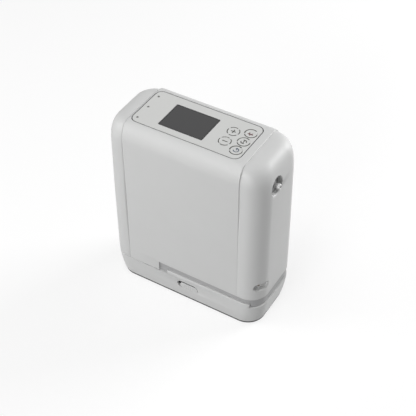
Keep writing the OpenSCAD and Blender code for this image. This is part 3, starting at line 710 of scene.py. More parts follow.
SHELL_COLOUR = (0.585, 0.588, 0.585)
PANEL_COLOUR = (0.592, 0.596, 0.586)
BAND_COLOUR = (0.376, 0.377, 0.38)


def screen_glass():
    """Dark glass over a sleeping display: a black border, a slightly lighter picture area."""
    paint = Finish("screen_glass", Specular_IOR_Level=0.5)
    x, y, _ = paint.axes(paint.place((WINDOW_LOW + WINDOW_HIGH) / 2))
    half = (WINDOW_HIGH - WINDOW_LOW) / 2
    from_edge = (half.x - x.size()).at_most(half.y - y.size())
    picture = from_edge.rise(1.9, 2.3)
    smears = paint.noise(paint.place(), 14, detail=4, roughness=0.7)
    paint.set(Base_Color=paint.mix(picture, (0.017, 0.017, 0.018), (0.029, 0.029, 0.03)),
              Roughness=(smears * 0.1 + 0.12).limited())
    return paint.material


def satin_film(name, colour):
    """The printed film of the control panel: satin, with a very fine grain."""
    paint = Finish(name)
    place = paint.place()
    fine = paint.noise(place, 0.22, detail=2)
    wide = paint.noise(place, 24, detail=3)
    paint.clouded(wide, shade(colour, 0.985), shade(colour, 1.015), 0.1, 0.36)
    paint.set(Normal=paint.bump(fine, 0.006, 0.4))
    return paint.material


def print_ink(name, colour):
    """Matt screen-print ink, slightly patchy."""
    paint = Finish(name)
    patches = paint.noise(paint.place(), 0.8, detail=3)
    paint.clouded(patches, shade(colour, 0.85), shade(colour, 1.15), 0.15, 0.5)
    return paint.material


def lamp_lens():
    """Milky lens over a lamp that is off."""
    paint = Finish("lamp_lens", Subsurface_Weight=0.4, Subsurface_Radius=(1.0, 1.0, 1.0),
                   Subsurface_Scale=0.001, Coat_Weight=0.5, Coat_Roughness=0.1)
    cloud = paint.noise(paint.place(), 1.2, detail=3)
    paint.clouded(cloud, (0.1, 0.1, 0.095), (0.15, 0.15, 0.14), 0.1, 0.22)
    return paint.material


def plated_metal():
    """Dull nickel plate with light turning marks and fingerprints."""
    paint = Finish("plated_metal", Metallic=1.0)
    place = paint.place()
    marks = paint.noise(place, 0.35, detail=2)
    prints = paint.noise(place, 5, detail=5, roughness=0.7)
    paint.clouded(prints, grey(0.36), grey(0.46), 0.16, 0.52)
    paint.set(Normal=paint.bump(marks, 0.004, 0.5))
    return paint.material


def machined_metal():
    """Machined aluminium: fine tool lines across the height and a soft, uneven sheen."""
    paint = Finish("machined_aluminium", Metallic=1.0)
    place = paint.place()
    _, _, z = paint.axes(place)
    lines = (z.repeat(0.5) * 2 - 0.5).size() * 2
    patches = paint.noise(place, 12, detail=4, roughness=0.65)
    paint.clouded(patches, (0.52, 0.53, 0.55), (0.68, 0.69, 0.71), 0.2, 0.26)
    paint.set(Normal=paint.bump(lines, 0.01, 0.35))
    return paint.material


def cast_metal():
    """Die-cast metal: pebbled skin, darker in the pits."""
    paint = Finish("cast_metal", Metallic=0.85)
    place = paint.place()
    pebble = paint.noise(place, 0.9, detail=5, roughness=0.7)
    stain = paint.noise(place, 18, detail=3)
    skin = (pebble * 0.6 + stain * 0.4).limited()
    paint.set(Base_Color=paint.mix(skin, (0.22, 0.225, 0.235), (0.42, 0.425, 0.44)),
              Roughness=(pebble * 0.25 + 0.4).limited(), Normal=paint.bump(pebble, 0.05, 0.7))
    return paint.material


def circuit_board():
    """Green solder mask over copper tracks, with pale pads on a grid."""
    paint = Finish("circuit_board", Coat_Weight=0.4, Coat_Roughness=0.2)
    place = paint.place()
    x, y, z = paint.axes(place)
    run = paint.cells(paint.node("VectorMath", {"operation": "MULTIPLY"}, {0: place, 1: (0.3, 1, 1)}), 2.2,
                      "DISTANCE_TO_EDGE", 0.6)
    tracks = 1 - run.rise(0.05, 0.09)
    row = ((x + z).repeat(2.54) - 1.27).size()
    column = (y.repeat(2.54) - 1.27).size()
    pads = 1 - (row * row + column * column).root().rise(0.32, 0.4)
    mask = paint.mix(tracks, (0.012, 0.1, 0.045), (0.03, 0.19, 0.085))
    some = paint.noise(place, 6, detail=1).rise(0.52, 0.56)
    paint.set(Base_Color=paint.mix((pads * some).limited(), mask, (0.62, 0.6, 0.52)),
              Roughness=(0.42 - pads * some * 0.15).limited(), Normal=paint.bump(tracks, 0.03, 0.5))
    return paint.material


def soft_rubber(name, darker, lighter):
    """Matt rubber with a dusty bloom and a fine diamond texture."""
    paint = Finish(name, Specular_IOR_Level=0.3)
    place = paint.place()
    x, y, _ = paint.axes(place)
    ridges = ((x + y).repeat(2.0) - 1).size() * ((x - y).repeat(2.0) - 1).size()
    bloom = paint.noise(place, 10, detail=4, roughness=0.7)
    paint.clouded(bloom, darker, lighter, 0.15, 0.72)
    paint.set(Normal=paint.bump(ridges, 0.12, 0.6))
    return paint.material


def filter_foam():
    """Open-cell filter foam: pale cell walls, with painted shade in the pits between them."""
    paint = Finish("filter_foam", Specular_IOR_Level=0.1, Roughness=0.95)
    place = paint.place()
    walls = 1 - paint.cells(place, 1.3, "DISTANCE_TO_EDGE").rise(0.02, 0.22)
    small = 1 - paint.cells(place, 0.6, "DISTANCE_TO_EDGE").rise(0.02, 0.25)
    # Painted shade: the pits between the cell walls are darkened, the walls kept light.
    lit = (walls * 0.7 + small * 0.3).limited()
    paint.set(Base_Color=paint.mix(lit, (0.008, 0.008, 0.009), (0.12, 0.12, 0.128)),
              Normal=paint.bump((walls + small).limited(), 0.5, 0.9))
    return paint.material


def gold_contact():
    """Gold flash on spring contacts, rubbed paler where it slides."""
    paint = Finish("gold_contact", Metallic=1.0)
    rub = paint.noise(paint.place(), 1.5, detail=4)
    paint.clouded(rub, (0.72, 0.48, 0.16), (0.86, 0.68, 0.36), 0.2, 0.2)
    return paint.material


def cell_sleeve():
    """Shrink sleeve of a cylindrical cell: glossy, with dark rings near its ends."""
    paint = Finish("cell_sleeve", Coat_Weight=0.5, Coat_Roughness=0.15)
    place = paint.place()
    _, y, _ = paint.axes(place)
    end = y.size().rise(30.2, 30.8)
    wrinkle = paint.noise(place, 3, detail=3)
    sleeve = paint.mix(wrinkle, (0.03, 0.14, 0.3), (0.045, 0.19, 0.38))
    paint.set(Base_Color=paint.mix(end, sleeve, (0.02, 0.02, 0.025)),
              Roughness=(wrinkle * 0.15 + 0.3).limited(), Normal=paint.bump(wrinkle, 0.05, 0.4))
    return paint.material


def clear_tube():
    """Milky silicone tube."""
    paint = Finish("clear_tube", Transmission_Weight=0.25, IOR=1.42, Subsurface_Weight=0.3,
                   Subsurface_Radius=(1.0, 1.0, 1.0), Subsurface_Scale=0.002)
    cloud = paint.noise(paint.place(), 2.5, detail=4)
    paint.clouded(cloud, (0.68, 0.7, 0.69), (0.82, 0.84, 0.83), 0.15, 0.25)
    return paint.material


def zeolite_beads():
    """Packed zeolite beads, sand-coloured, with painted shade in the gaps between them."""
    paint = Finish("zeolite_beads", Roughness=0.85, Specular_IOR_Level=0.2)
    place = paint.place()
    beads = 1 - paint.cells(place, 0.9).rise(0.1, 0.6)
    tint = paint.noise(place, 2, detail=3)
    colour = paint.mix(tint, (0.5, 0.42, 0.3), (0.68, 0.6, 0.47))
    # The dark colour between the beads is painted shade.
    paint.set(Base_Color=paint.mix(beads, (0.16, 0.12, 0.08), colour), Normal=paint.bump(beads, 0.4, 0.9))
    return paint.material


FINISHES = {
    "shell": moulded_plastic("shell_plastic", SHELL_COLOUR, 0.5),
    "panel": satin_film("panel_film", PANEL_COLOUR),
    "band": moulded_plastic("band_plastic", BAND_COLOUR, 0.5, grain=0.6, depth=0.03),
    "screen": screen_glass(),
    "black_plastic": moulded_plastic("black_plastic", (0.022, 0.022, 0.024), 0.45, grain=0.5, mottle=0.15),
    "lens": lamp_lens(),
    "board": circuit_board(),
    "bright_metal": plated_metal(),
    "machined_metal": machined_metal(),
    "cast_metal": cast_metal(),
    "rubber": soft_rubber("soft_rubber", (0.04, 0.041, 0.043), (0.07, 0.071, 0.074)),
    "seal": soft_rubber("seal_rubber", (0.24, 0.241, 0.244), (0.3, 0.301, 0.304)),
    "foam": filter_foam(),
    "contact": gold_contact(),
    "cell": cell_sleeve(),
    "clear_tube": clear_tube(),
    "sieve_bead": zeolite_beads(),
    # This grey ink prints the icons, and is also painted shade in the arcs round the keys.
    "ink_grey_and_gap_shade": print_ink("ink_grey_and_gap_shade", (0.045, 0.045, 0.038)),
    "ink_red": print_ink("ink_red", (0.14, 0.08, 0.08)),
    "ink_blue": print_ink("ink_blue", (0.09, 0.11, 0.145)),
}

# ---- housing ----

SEAL_LOW, SEAL_HIGH = node_box("outlet_seal")
CUP_Y = (SEAL_LOW.y + SEAL_HIGH.y) / 2
CUP_Z = (SEAL_LOW.z + SEAL_HIGH.z) / 2
CUP_R = (SEAL_HIGH.z - SEAL_LOW.z) / 2 + 0.2
CUP_FLOOR = SEAL_LOW.x
CUP_LIP = 1.6
PORT_TURN = -28
PORT_Z = 58.5
PORT_W = 18
PORT_H = 10
PORT_DEPTH = 5.2
PORT_R = 4.4
PORT_LEDGE = 0.8
JACK_R = 4.4
JACK_BORE_R = 2.75
KEYS = {name: node_middle(name) for name in ("key_plus", "key_minus", "key_alarm", "key_mode", "key_power")}
KEY_HOLE_R = 6.0
KEY_ROOM_R = 6.95
PANEL_R = 8
PLAY = 0.05
COVER_SEAT = 1.4
VENT_DEPTH = 8
LAMP_LOW, LAMP_HIGH = node_box("indicator_lenses")
LAMP_R = (LAMP_HIGH.x - LAMP_LOW.x) / 2
LAMP_X = (LAMP_HIGH.x + LAMP_LOW.x) / 2
LAMPS = {"lamp_rear": LAMP_HIGH.y - LAMP_R, "lamp_middle": (LAMP_LOW.y + LAMP_HIGH.y) / 2,
         "lamp_front": LAMP_LOW.y + LAMP_R}


def make_wrap():
    """The middle shell that wraps over the top, with its notch for the band and seats for panel and cover."""
    wrap = shell_form("housing_wrap", SEAT, 0)
    for x, keep, rim in ((SEAM_LEFT, 1, WRAP_RIM_LEFT), (SEAM_RIGHT, -1, WRAP_RIM_RIGHT)):
        end_at_seam(wrap, x, keep, rim)
        fade_rim(wrap, x, rim, 0)
    combine(wrap, hollow_form(SEAT - SPARE - 2))
    cut_lower_rim(wrap, SEAT, RIM_R)
    combine(wrap, block("notch", (BLOCK_LEFT, -FAR, SEAT - 5), (FAR, FAR, BAND_TOP)))
    round_edges(wrap, lambda m, e: on_outside(m) and m.x > BLOCK_LEFT - 0.1 and can_round(e)
                and (at(m.z, BAND_TOP) and lies_along(e, "X") or at(m.x, BLOCK_LEFT) and lies_along(e, "Z")),
                RIM_R)
    combine(wrap, inset_block("panel_seat", PANEL_LOW, PANEL_HIGH, "Z", -PLAY, PANEL_LOW.z, TOP + 9,
                              PANEL_R, 12))
    for place in KEYS.values():
        combine(wrap, rod("key_room", (place.x, place.y, TOP - 10), 20, KEY_ROOM_R))
    combine(wrap, inset_block("display_room", WINDOW_LOW, WINDOW_HIGH, "Z", 3, TOP - 10, TOP + 9))
    combine(wrap, inset_block("cover_seat", COVER_LOW, COVER_HIGH, "Y", -0.4, HALF_W - COVER_SEAT, FAR, 5))
    combine(wrap, inset_block("intake_window", COVER_LOW, COVER_HIGH, "Y", 4.6, HALF_W - VENT_DEPTH, FAR, 3))
    round_edges(wrap, lambda m, e: at(m.y, HALF_W) and is_level(e, "Y") and is_sharp(e)
                and COVER_LOW.x - 1 < m.x < COVER_HIGH.x + 1
                and COVER_LOW.z - 1 < m.z < COVER_HIGH.z + 1, SEAT_EDGE_R)
    return wrap


def make_left_cap():
    """The left end cap, with its seat for the exhaust grille."""
    cap = shell_form("housing_cap_left", SEAT, 1)
    end_at_seam(cap, SEAM_LEFT, -1, CAP_RIM_LEFT)
    fade_rim(cap, SEAM_LEFT, CAP_RIM_LEFT, 1)
    combine(cap, hollow_form(SEAT - SPARE - 2))
    cut_lower_rim(cap, SEAT, RIM_R)
    combine(cap, inset_block("grille_seat", GRILLE_LOW, GRILLE_HIGH, "X", -0.1,
                             -FAR, -HALF_L + COVER_SEAT, 5))
    combine(cap, inset_block("exhaust_window", GRILLE_LOW, GRILLE_HIGH, "X", 2.9,
                             -FAR, -HALF_L + VENT_DEPTH, 3))
    round_edges(cap, lambda m, e: at(m.x, -HALF_L) and abs(m.y) < GRILLE_HIGH.y + 1
                and GRILLE_LOW.z - 1 < m.z < GRILLE_HIGH.z + 1 and is_sharp(e), SEAT_EDGE_R)
    return cap


def port_frame():
    """The power inlet's own axes: origin on the corner's surface, +Z outwards."""
    corner = Vector((HALF_L - CORNER_R, -HALF_W + CORNER_R, PORT_Z)) * MM
    across = Matrix(((0, 0, 1), (1, 0, 0), (0, 1, 0))).to_4x4()
    return (Matrix.Translation(corner) @ Matrix.Rotation(math.radians(PORT_TURN), 4, "Z")
            @ Matrix.Translation((CORNER_R * MM, 0, 0)) @ across)


def at_port(obj):
    """Moves a piece made about the origin to the power inlet."""
    obj.matrix_world = port_frame()
    settle(obj)
    return obj


def port_block(name, side, end, low, high, radius=0):
    """A block at the power inlet, wider and higher than its opening by a margin on each side and end."""
    return at_port(block(name, (-PORT_W / 2 - side, -PORT_H / 2 - end, low),
                         (PORT_W / 2 + side, PORT_H / 2 + end, high), "Z", radius, 10))


def cup_cutter():
    """The outlet's round cup, its mouth rolled outwards."""
    roll = quarter(6)
    lip = [(CUP_R + CUP_LIP * (1 - math.cos(a)), HALF_L - CUP_LIP + CUP_LIP * math.sin(a)) for a in roll]
    corner = [(CUP_R - 1 + math.sin(a), CUP_FLOOR + 1 - math.cos(a)) for a in roll]
    mouth = [(lip[-1][0], HALF_L + 8), (0, HALF_L + 8)]
    return turned("cup_cutter", [(0, CUP_FLOOR)] + corner + lip + mouth, (0, CUP_Y, CUP_Z), "X", 96)


def make_right_cap():
    """The right end cap, with the outlet's cup and the recess of the power inlet."""
    cap = shell_form("housing_cap_right", BAND_TOP, 1)
    end_at_seam(cap, SEAM_RIGHT, 1, CAP_RIM_RIGHT)
    fade_rim(cap, SEAM_RIGHT, CAP_RIM_RIGHT, 1)
    combine(cap, hollow_form(BAND_TOP - SPARE - 2))
    cut_lower_rim(cap, BAND_TOP, RIM_R)
    combine(cap, rod("cup_wall", (CUP_FLOOR - WALL, CUP_Y, CUP_Z), HALF_L - 2.2 - CUP_FLOOR + WALL,
                     CUP_R + WALL, "X", 96), "UNION")
    combine(cap, port_block("port_wall", 1.6, 2, -PORT_DEPTH - WALL, -3), "UNION")
    combine(cap, port_block("port_room", 0, 0, -PORT_DEPTH, 20, PORT_R))
    ledge = port_block("port_ledge", PORT_LEDGE, PORT_LEDGE, -10, 20, PORT_R + PORT_LEDGE)
    combine(ledge, rod("corner_core", (HALF_L - CORNER_R, -HALF_W + CORNER_R, PORT_Z - 30), 60,
                       CORNER_R - 0.5, "Z", 160))
    combine(cap, ledge)
    combine(cap, at_port(rod("jack_hole", (0, 0, -20), 30, JACK_R + 0.1)))
    combine(cap, cup_cutter())
    combine(cap, rod("barb_hole", (CUP_FLOOR - 10, CUP_Y, CUP_Z), 20, 2.6, "X"))
    return cap


wrap = make_wrap()
left_cap = make_left_cap()
right_cap = make_right_cap()
for piece, node in ((wrap, "centre_shell"), (left_cap, "left_end_cap"), (right_cap, "right_end_cap")):
    add_piece(piece, "housing", "shell", node)

# ---- battery ----

SEAT_GAP = 0.6
BATTERY_TOP = SEAT - SEAT_GAP
LIP_LEFT = -21
LIP_RIGHT = 81
LIP_INNER = 35.8
LATCH_X = 5
LATCH_Z = 20.7
LATCH_W = 26
LATCH_H = 10.4
LATCH_FLOOR = -36.6
THUMB_LOW, THUMB_HIGH = node_box("latch_slider")
THUMB_X = (THUMB_LOW.x + THUMB_HIGH.x) / 2
THUMB_Z = LATCH_Z - 1.0
THUMB_W = THUMB_HIGH.x - THUMB_LOW.x
THUMB_H = 8.0
GROOVE_PITCH = 2.6
GROOVE_LENGTH = 5.2
GROOVE_R = 0.62
ARM_LOW = LATCH_X + 0.4
ARM_HIGH = LATCH_X + 4
WEDGE_Y = (-34.8, -33)
FOOT_R = 0.5
FOOT_Z = 2.2
PAD_INSET = 0.35
CAVITY_X = 84.5
CAVITY_Y = 35.3
CAVITY_R = 17
LID_X = 86.2
LID_Z = 22
RAIL_Y = 22
RAIL_LOW = 23.4
RAIL_HIGH = 26.6
RAIL_END = -60


def stadium(name, middle, width, height, y_low, y_high):
    """A block with half-round ends that stands up across Y."""
    x, z = middle
    return block(name, (x - width / 2, y_low, z - height / 2), (x + width / 2, y_high, z + height / 2),
                 "Y", height / 2 - 0.01, 12)


def arm_room():
    """The slot in the battery's wall that the thumb's arm slides in."""
    return block("arm_room", (LATCH_X - 6.4, -FAR, LATCH_Z - 1.9), (LATCH_X + 4.4, -34.3, LATCH_Z + 1.9))


def make_tray():
    """The battery's body: drawn in at the bottom, with raised lips, the lid's seat and the latch's recess."""
    low = [ring(FOOT_Z + FOOT_R * (1 - math.cos(a)), -FOOT_R * (1 - math.sin(a))) for a in quarter(3)]
    rings = low + [ring(z) for z in range(4, 33, 2)] + [ring(TRAY_HIGH.z)]
    tray = stacked_form("battery_body", rings, CORNER_R, 20)
    for name, low, high in (
            ("step_left", (-FAR, -FAR, BATTERY_TOP), (LIP_LEFT, FAR, FAR)),
            ("step_right", (LIP_RIGHT, -FAR, BATTERY_TOP), (FAR, FAR, FAR)),
            ("step_inner", (-FAR, -LIP_INNER, BATTERY_TOP), (FAR, LIP_INNER, FAR))):
        combine(tray, block(name, low, high))
    combine(tray, block("cavity", (-CAVITY_X, -CAVITY_Y, 2.8), (CAVITY_X, CAVITY_Y, FAR), "Z", CAVITY_R))
    combine(tray, block("lid_seat", (-LID_X, -CAVITY_Y, LID_Z), (LID_X, CAVITY_Y, FAR), "Z", CAVITY_R))
    for y in (-RAIL_Y, RAIL_Y):
        combine(tray, block("rail_slot", (-FAR, y - 5, RAIL_LOW), (RAIL_END, y + 5, RAIL_HIGH)))
        combine(tray, block("rail_neck", (-FAR, y - 2.5, RAIL_LOW), (RAIL_END, y + 2.5, FAR)))
    combine(tray, block("trough", (-FAR, -11, 23), (RAIL_END, 11, FAR)))
    round_edges(tray, lambda m, e: on_outside(m) and is_sharp(e) and m.z > BATTERY_TOP - 0.1
                and abs(m.x) < 92 and (abs(m.y) > 13 or m.x > 0)
                and (is_level(e) or at(m.x, LIP_LEFT) or at(m.x, LIP_RIGHT)), 0.45)
    combine(tray, stadium("latch_recess", (LATCH_X, LATCH_Z), LATCH_W, LATCH_H, -FAR, LATCH_FLOOR))
    combine(tray, arm_room())
    round_edges(tray, lambda m, e: abs(m.x - LATCH_X) < LATCH_W / 2 + 0.1
                and abs(m.z - LATCH_Z) < LATCH_H / 2 + 0.1 and m.y < -39 and is_sharp(e), 0.12, 2)
    return tray


def make_pad():
    """The rubber pad under the battery, set in a little from its edge; its dark side is both the rubber's own
    colour and painted shade for the contact shadow along the bottom edge.
    """
    _, half_l, half_w, _ = ring(TRAY_LOW.z, -PAD_INSET)
    pad = block("foot_pad", (-half_l, -half_w, 0), (half_l, half_w, FOOT_Z + 0.1),
                "Z", CORNER_R - PAD_INSET, 20)
    round_face(pad, "Z", 0, 0.2)
    return pad


def make_latch_shade_lining():
    """Painted shade in the latch's recess: a black lining on its floor and a black strip that fills the room
    above the thumb, standing in for the shade there.
    """
    shade_lining = stadium("latch_shade_lining", (LATCH_X, LATCH_Z), LATCH_W - 0.1, LATCH_H - 0.1,
                    LATCH_FLOOR - 0.3, LATCH_FLOOR + 0.1)
    combine(shade_lining, block("shade_strip", (LATCH_X - LATCH_W / 2 + 4, THUMB_LOW.y + 0.1, THUMB_Z + THUMB_H / 2 + 0.1),
                         (LATCH_X + LATCH_W / 2 - 4, LATCH_FLOOR, LATCH_Z + LATCH_H / 2 - 0.1)), "UNION")
    combine(shade_lining, arm_room())
    return shade_lining


def make_thumb():
    """The release thumb: a rounded slider with five grip grooves, and its arm and wedge behind it."""
    thumb = stadium("latch_thumb", (THUMB_X, THUMB_Z), THUMB_W, THUMB_H, THUMB_LOW.y, LATCH_FLOOR)
    round_face(thumb, "Y", THUMB_LOW.y, 0.35, 4)
    for i in range(-2, 3):
        foot = (THUMB_X + i * GROOVE_PITCH, THUMB_LOW.y - 0.25, THUMB_Z - GROOVE_LENGTH / 2)
        combine(thumb, rod("groove", foot, GROOVE_LENGTH, GROOVE_R, "Z", 20))
    arm = block("thumb_arm", (ARM_LOW, LATCH_FLOOR - 0.2, LATCH_Z - 1.5), (ARM_HIGH, -34.4, LATCH_Z + 1.5))
    wedge = block("thumb_wedge", (-0.95, WEDGE_Y[0], 26.4), (ARM_HIGH, WEDGE_Y[1], 27))
    stem = block("thumb_stem", (ARM_LOW, WEDGE_Y[0], 15.8), (ARM_HIGH, WEDGE_Y[1], 26.6))
    for part in (arm, stem, wedge):
        combine(thumb, part, "UNION")
    return thumb


add_piece(make_tray(), "battery_pack", "shell", "battery_tray")
thumb = add_piece(make_thumb(), "latch_thumb", "shell", "latch_slider")
# The pad's dark side is partly painted shade under the battery's bottom edge.
add_piece(make_pad(), "battery_pack", "rubber", "base_pad")
# The latch's black lining is painted shade.
add_piece(make_latch_shade_lining(), "battery_pack", "black_plastic")

# ---- control panel ----

PANEL_GAP = 0.95
KEY_R = 5.85
KEY_EDGE = 0.35
KEY_DISH = 4.9
KEY_TOP = node_box("key_plus")[1].z
KEY_FOOT = node_box("key_plus")[0].z
STEM_R = 2
FLANGE_R = 6.6
FLANGE_LOW = TOP - 2.8
FLANGE_HIGH = TOP - 1.2
FACE_Z = KEY_TOP - 0.12
LENS_R = 1.15


def make_panel():
    """The panel film on its plate, with openings for the window, the keys and the lamps."""
    low, high = PANEL_LOW, PANEL_HIGH
    panel = inset_block("panel_plate", low, high, "Z", PANEL_GAP, low.z, high.z, 7.1, 14)
    combine(panel, inset_block("window_opening", WINDOW_LOW, WINDOW_HIGH, "Z", -PLAY, TOP - 9, TOP + 9,
                               1.2, 5))
    for place in KEYS.values():
        combine(panel, rod("key_opening", (place.x, place.y, TOP - 9), 18, KEY_HOLE_R, vertices=64))
    for y in LAMPS.values():
        combine(panel, rod("lamp_opening", (LAMP_X, y, TOP - 9), 18, 1.3, vertices=32))
    round_face(panel, "Z", TOP, 0.12)
    return panel


def make_gasket():
    """The dark seal in the gap round the panel."""
    low, high = PANEL_LOW, PANEL_HIGH
    gasket = inset_block("panel_gasket", low, high, "Z", 0, low.z + 0.05, low.z + 0.7, PANEL_R, 12)
    inner = PANEL_GAP + 0.02
    combine(gasket, inset_block("panel_room", low, high, "Z", inner, low.z - 1, high.z, PANEL_R - inner, 12))
    return gasket


def make_window():
    """The display's glass, just below the panel's face."""
    low, high = WINDOW_LOW, WINDOW_HIGH
    window = inset_block("display_glass", low, high, "Z", PLAY, low.z, high.z - 0.02, 1.15, 5)
    round_edges(window, lambda m, e: m.z > TOP - 0.1 and is_sharp(e), 0.15, 2)
    return window


def make_key(name, place):
    """A key turned as one cap, flange and stem, its face dished a little."""
    stem = [(0, KEY_FOOT), (STEM_R, KEY_FOOT), (STEM_R, FLANGE_LOW)]
    flange = [(FLANGE_R, FLANGE_LOW), (FLANGE_R, FLANGE_HIGH), (KEY_R, FLANGE_HIGH)]
    rim = [(KEY_R - KEY_EDGE + KEY_EDGE * math.cos(a), KEY_TOP - KEY_EDGE + KEY_EDGE * math.sin(a))
           for a in quarter(4)]
    face = [(KEY_DISH + 0.3, KEY_TOP - 0.01), (KEY_DISH, FACE_Z), (0, FACE_Z)]
    return turned(name + "_cap", stem + flange + rim + face, (place.x, place.y, 0), "Z", 64)


def bar(name, start, end, width, z, thickness=0.05):
    """A flat printed stroke with round ends, between two points of the panel."""
    start, end = Vector(start), Vector(end)
    length = (end - start).length
    stroke = block(name, (-width / 2, -width / 2, 0), (length + width / 2, width / 2, thickness),
                   "Z", width / 2 - 0.005, 5)
    turn = math.atan2(end.y - start.y, end.x - start.x)
    place = Vector((start.x, start.y, z)) * MM
    stroke.matrix_world = Matrix.Translation(place) @ Matrix.Rotation(turn, 4, "Z")
    settle(stroke)
    return stroke


def arc(name, centre, radius, width, z, start, stop, thickness=0.05):
    """A flat printed arc about a centre, between two angles in degrees."""
    bpy.ops.object.select_all(action="DESELECT")
    bpy.ops.mesh.primitive_plane_add(size=MM)
    stroke = named(name)
    stroke.scale = (width, thickness, 1)
    stroke.rotation_euler = (math.pi / 2, 0, 0)
    stroke.location = (radius * MM, 0, (z + thickness / 2) * MM)
    settle(stroke)
    with editing(stroke):
        bpy.ops.mesh.select_all(action="SELECT")
        bpy.ops.mesh.spin(steps=max(6, round((stop - start) / 6)), angle=math.radians(stop - start),
                          center=(0, 0, 0), axis=(0, 0, 1))
        bpy.ops.mesh.select_all(action="SELECT")
        bpy.ops.mesh.remove_doubles(threshold=0.002 * MM)
        bpy.ops.mesh.normals_make_consistent(inside=False)
    stroke.matrix_world = (Matrix.Translation(Vector((centre[0], centre[1], 0)) * MM)
                           @ Matrix.Rotation(math.radians(start), 4, "Z"))
    settle(stroke)
    return stroke


def key_gap_shade_arcs(place, gaps, half_gap, radius, width):
    """Dark printed arcs around a key, open at some angles: painted shade that stands in for the shade in the
    gap round the key.
    """
    following = gaps[1:] + [gaps[0] + 360]
    return [arc("gap_shade_arc", place, radius, width, TOP - 0.01, gap + half_gap, last - half_gap)
            for gap, last in zip(gaps, following)]


def plus_icon(x, y):
    return [bar("stroke", (x - 2.3, y), (x + 2.3, y), 1.0, FACE_Z),
            bar("stroke", (x, y - 2.3), (x, y + 2.3), 1.0, FACE_Z + 0.004)]


def minus_icon(x, y):
    return [bar("stroke", (x - 2.4, y), (x + 2.4, y), 1.05, FACE_Z)]


def bell_icon(x, y):
    """A bell: a dome, two flared sides, a foot and a clapper."""
    return [arc("stroke", (x, y + 0.6), 1.6, 0.85, FACE_Z, 0, 180),
            bar("stroke", (x - 1.6, y + 0.6), (x - 1.9, y - 1.5), 0.85, FACE_Z + 0.004),
            bar("stroke", (x + 1.6, y + 0.6), (x + 1.9, y - 1.5), 0.85, FACE_Z + 0.004),
            bar("stroke", (x - 2.6, y - 1.6), (x + 2.6, y - 1.6), 0.85, FACE_Z + 0.008),
            bar("stroke", (x - 0.3, y - 2.7), (x + 0.3, y - 2.7), 1.05, FACE_Z)]


def mode_icon(x, y):
    """Two facing arcs with a stroke between them."""
    return [arc("stroke", (x, y), 2.7, 0.95, FACE_Z, 120, 240),
            arc("stroke", (x, y), 2.7, 0.95, FACE_Z, -60, 60),
            bar("stroke", (x, y - 1.7), (x, y + 1.7), 0.95, FACE_Z)]


def power_icon(x, y):
    """A ring open at the back with a stroke through the opening."""
    return [arc("stroke", (x, y), 2.6, 0.95, FACE_Z, 125, 415),
            bar("stroke", (x, y + 0.4), (x, y + 3.1), 0.95, FACE_Z + 0.004)]


add_piece(make_panel(), "housing", "panel", "control_panel", 20)
add_piece(make_gasket(), "housing", "rubber")
FEATURE_PIECES = {"screen": add_piece(make_window(), "housing", "screen", "display_window", 20)}

ICONS = {
    "key_plus": (plus_icon, "ink_grey_and_gap_shade"),
    "key_minus": (minus_icon, "ink_grey_and_gap_shade"),
    "key_alarm": (bell_icon, "ink_red"),
    "key_mode": (mode_icon, "ink_grey_and_gap_shade"),
    "key_power": (power_icon, "ink_blue"),
}
gap_shade_arcs = []
for name, place in KEYS.items():
    cap = add_piece(make_key(name, place), name, "panel", name)
    draw, ink = ICONS[name]
    spot = on_surface(FEATURE_POINTS[name], [cap])
    finish_piece(join(name + "_icon", draw(spot.x, spot.y)), name, ink)
    # The dark arcs round each key are painted shade of the gap round the key.
    if name in ("key_plus", "key_minus"):
        gap_shade_arcs += key_gap_shade_arcs(spot, [45, 135, 225, 315], 10, 6.3, 0.95)
    else:
        gap_shade_arcs += key_gap_shade_arcs(spot, [-4, 184], 16, 6.35, 1.05)
    FEATURE_PIECES[name] = cap
finish_piece(join("key_gap_shade_arcs", gap_shade_arcs), "housing", "ink_grey_and_gap_shade")


def make_lamp(name, y):
    """A lens with a domed top."""
    dome = [(LENS_R * math.cos(a), TOP - 0.1 + 0.2 * math.sin(a)) for a in quarter(4)]
    return turned(name, [(0, TOP - 8), (LENS_R, TOP - 8)] + dome, (LAMP_X, y, 0), "Z", 32)


for name, y in LAMPS.items():
    FEATURE_PIECES[name] = add_piece(make_lamp(name, y), "housing", "lens", "indicator_lenses", 50)

# ---- outlet, covers and base ----

BARB_TIP = node_box("outlet_barb")[1].x
SLOT_PITCH = 4.6
SLOT_R = 1.1


def make_barb():
    """The metal outlet: a collar on the cup's floor, a neck, a long barb and a bored tip."""
    floor, tip = CUP_FLOOR, BARB_TIP
    profile = [(1.5, floor - 8), (2.4, floor - 8), (2.4, floor + 0.8), (3.9, floor + 0.8), (4.2, floor + 1.0),
               (4.2, floor + 1.4), (3.9, floor + 1.6), (2.9, floor + 1.7), (2.6, floor + 2.0), (2.6, tip - 4),
               (2.95, tip - 3.7), (3.0, tip - 3.5), (3.0, tip - 1.7), (2.9, tip - 1.3), (2.6, tip - 0.3),
               (2.35, tip), (1.8, tip), (1.5, tip - 0.4), (1.5, floor - 8)]
    return turned("outlet_nozzle", profile, (0, CUP_Y, CUP_Z), "X", 64)


def make_gland():
    """The soft ring that closes the cup's floor round the metal outlet."""
    base = CUP_FLOOR + 0.7
    profile = [(2.65, base), (4.4, base), (4.4, base + 0.7), (4.1, base + 1.05), (2.65, base + 1.25),
               (2.65, base)]
    return turned("outlet_gland", profile, (0, CUP_Y, CUP_Z), "X", 64)


def make_socket():
    """The power inlet: a round barrel set in the recess's floor, with a bore around the centre pin."""
    floor = -PORT_DEPTH
    profile = [(0, floor - 14), (JACK_R, floor - 14), (JACK_R, floor + 0.05), (JACK_R - 0.15, floor + 0.2),
               (JACK_BORE_R + 0.35, floor + 0.2), (JACK_BORE_R, floor - 0.15), (JACK_BORE_R, floor - 9),
               (0, floor - 9)]
    return at_port(turned("inlet_socket", profile, (0, 0, 0), "Z", 48))


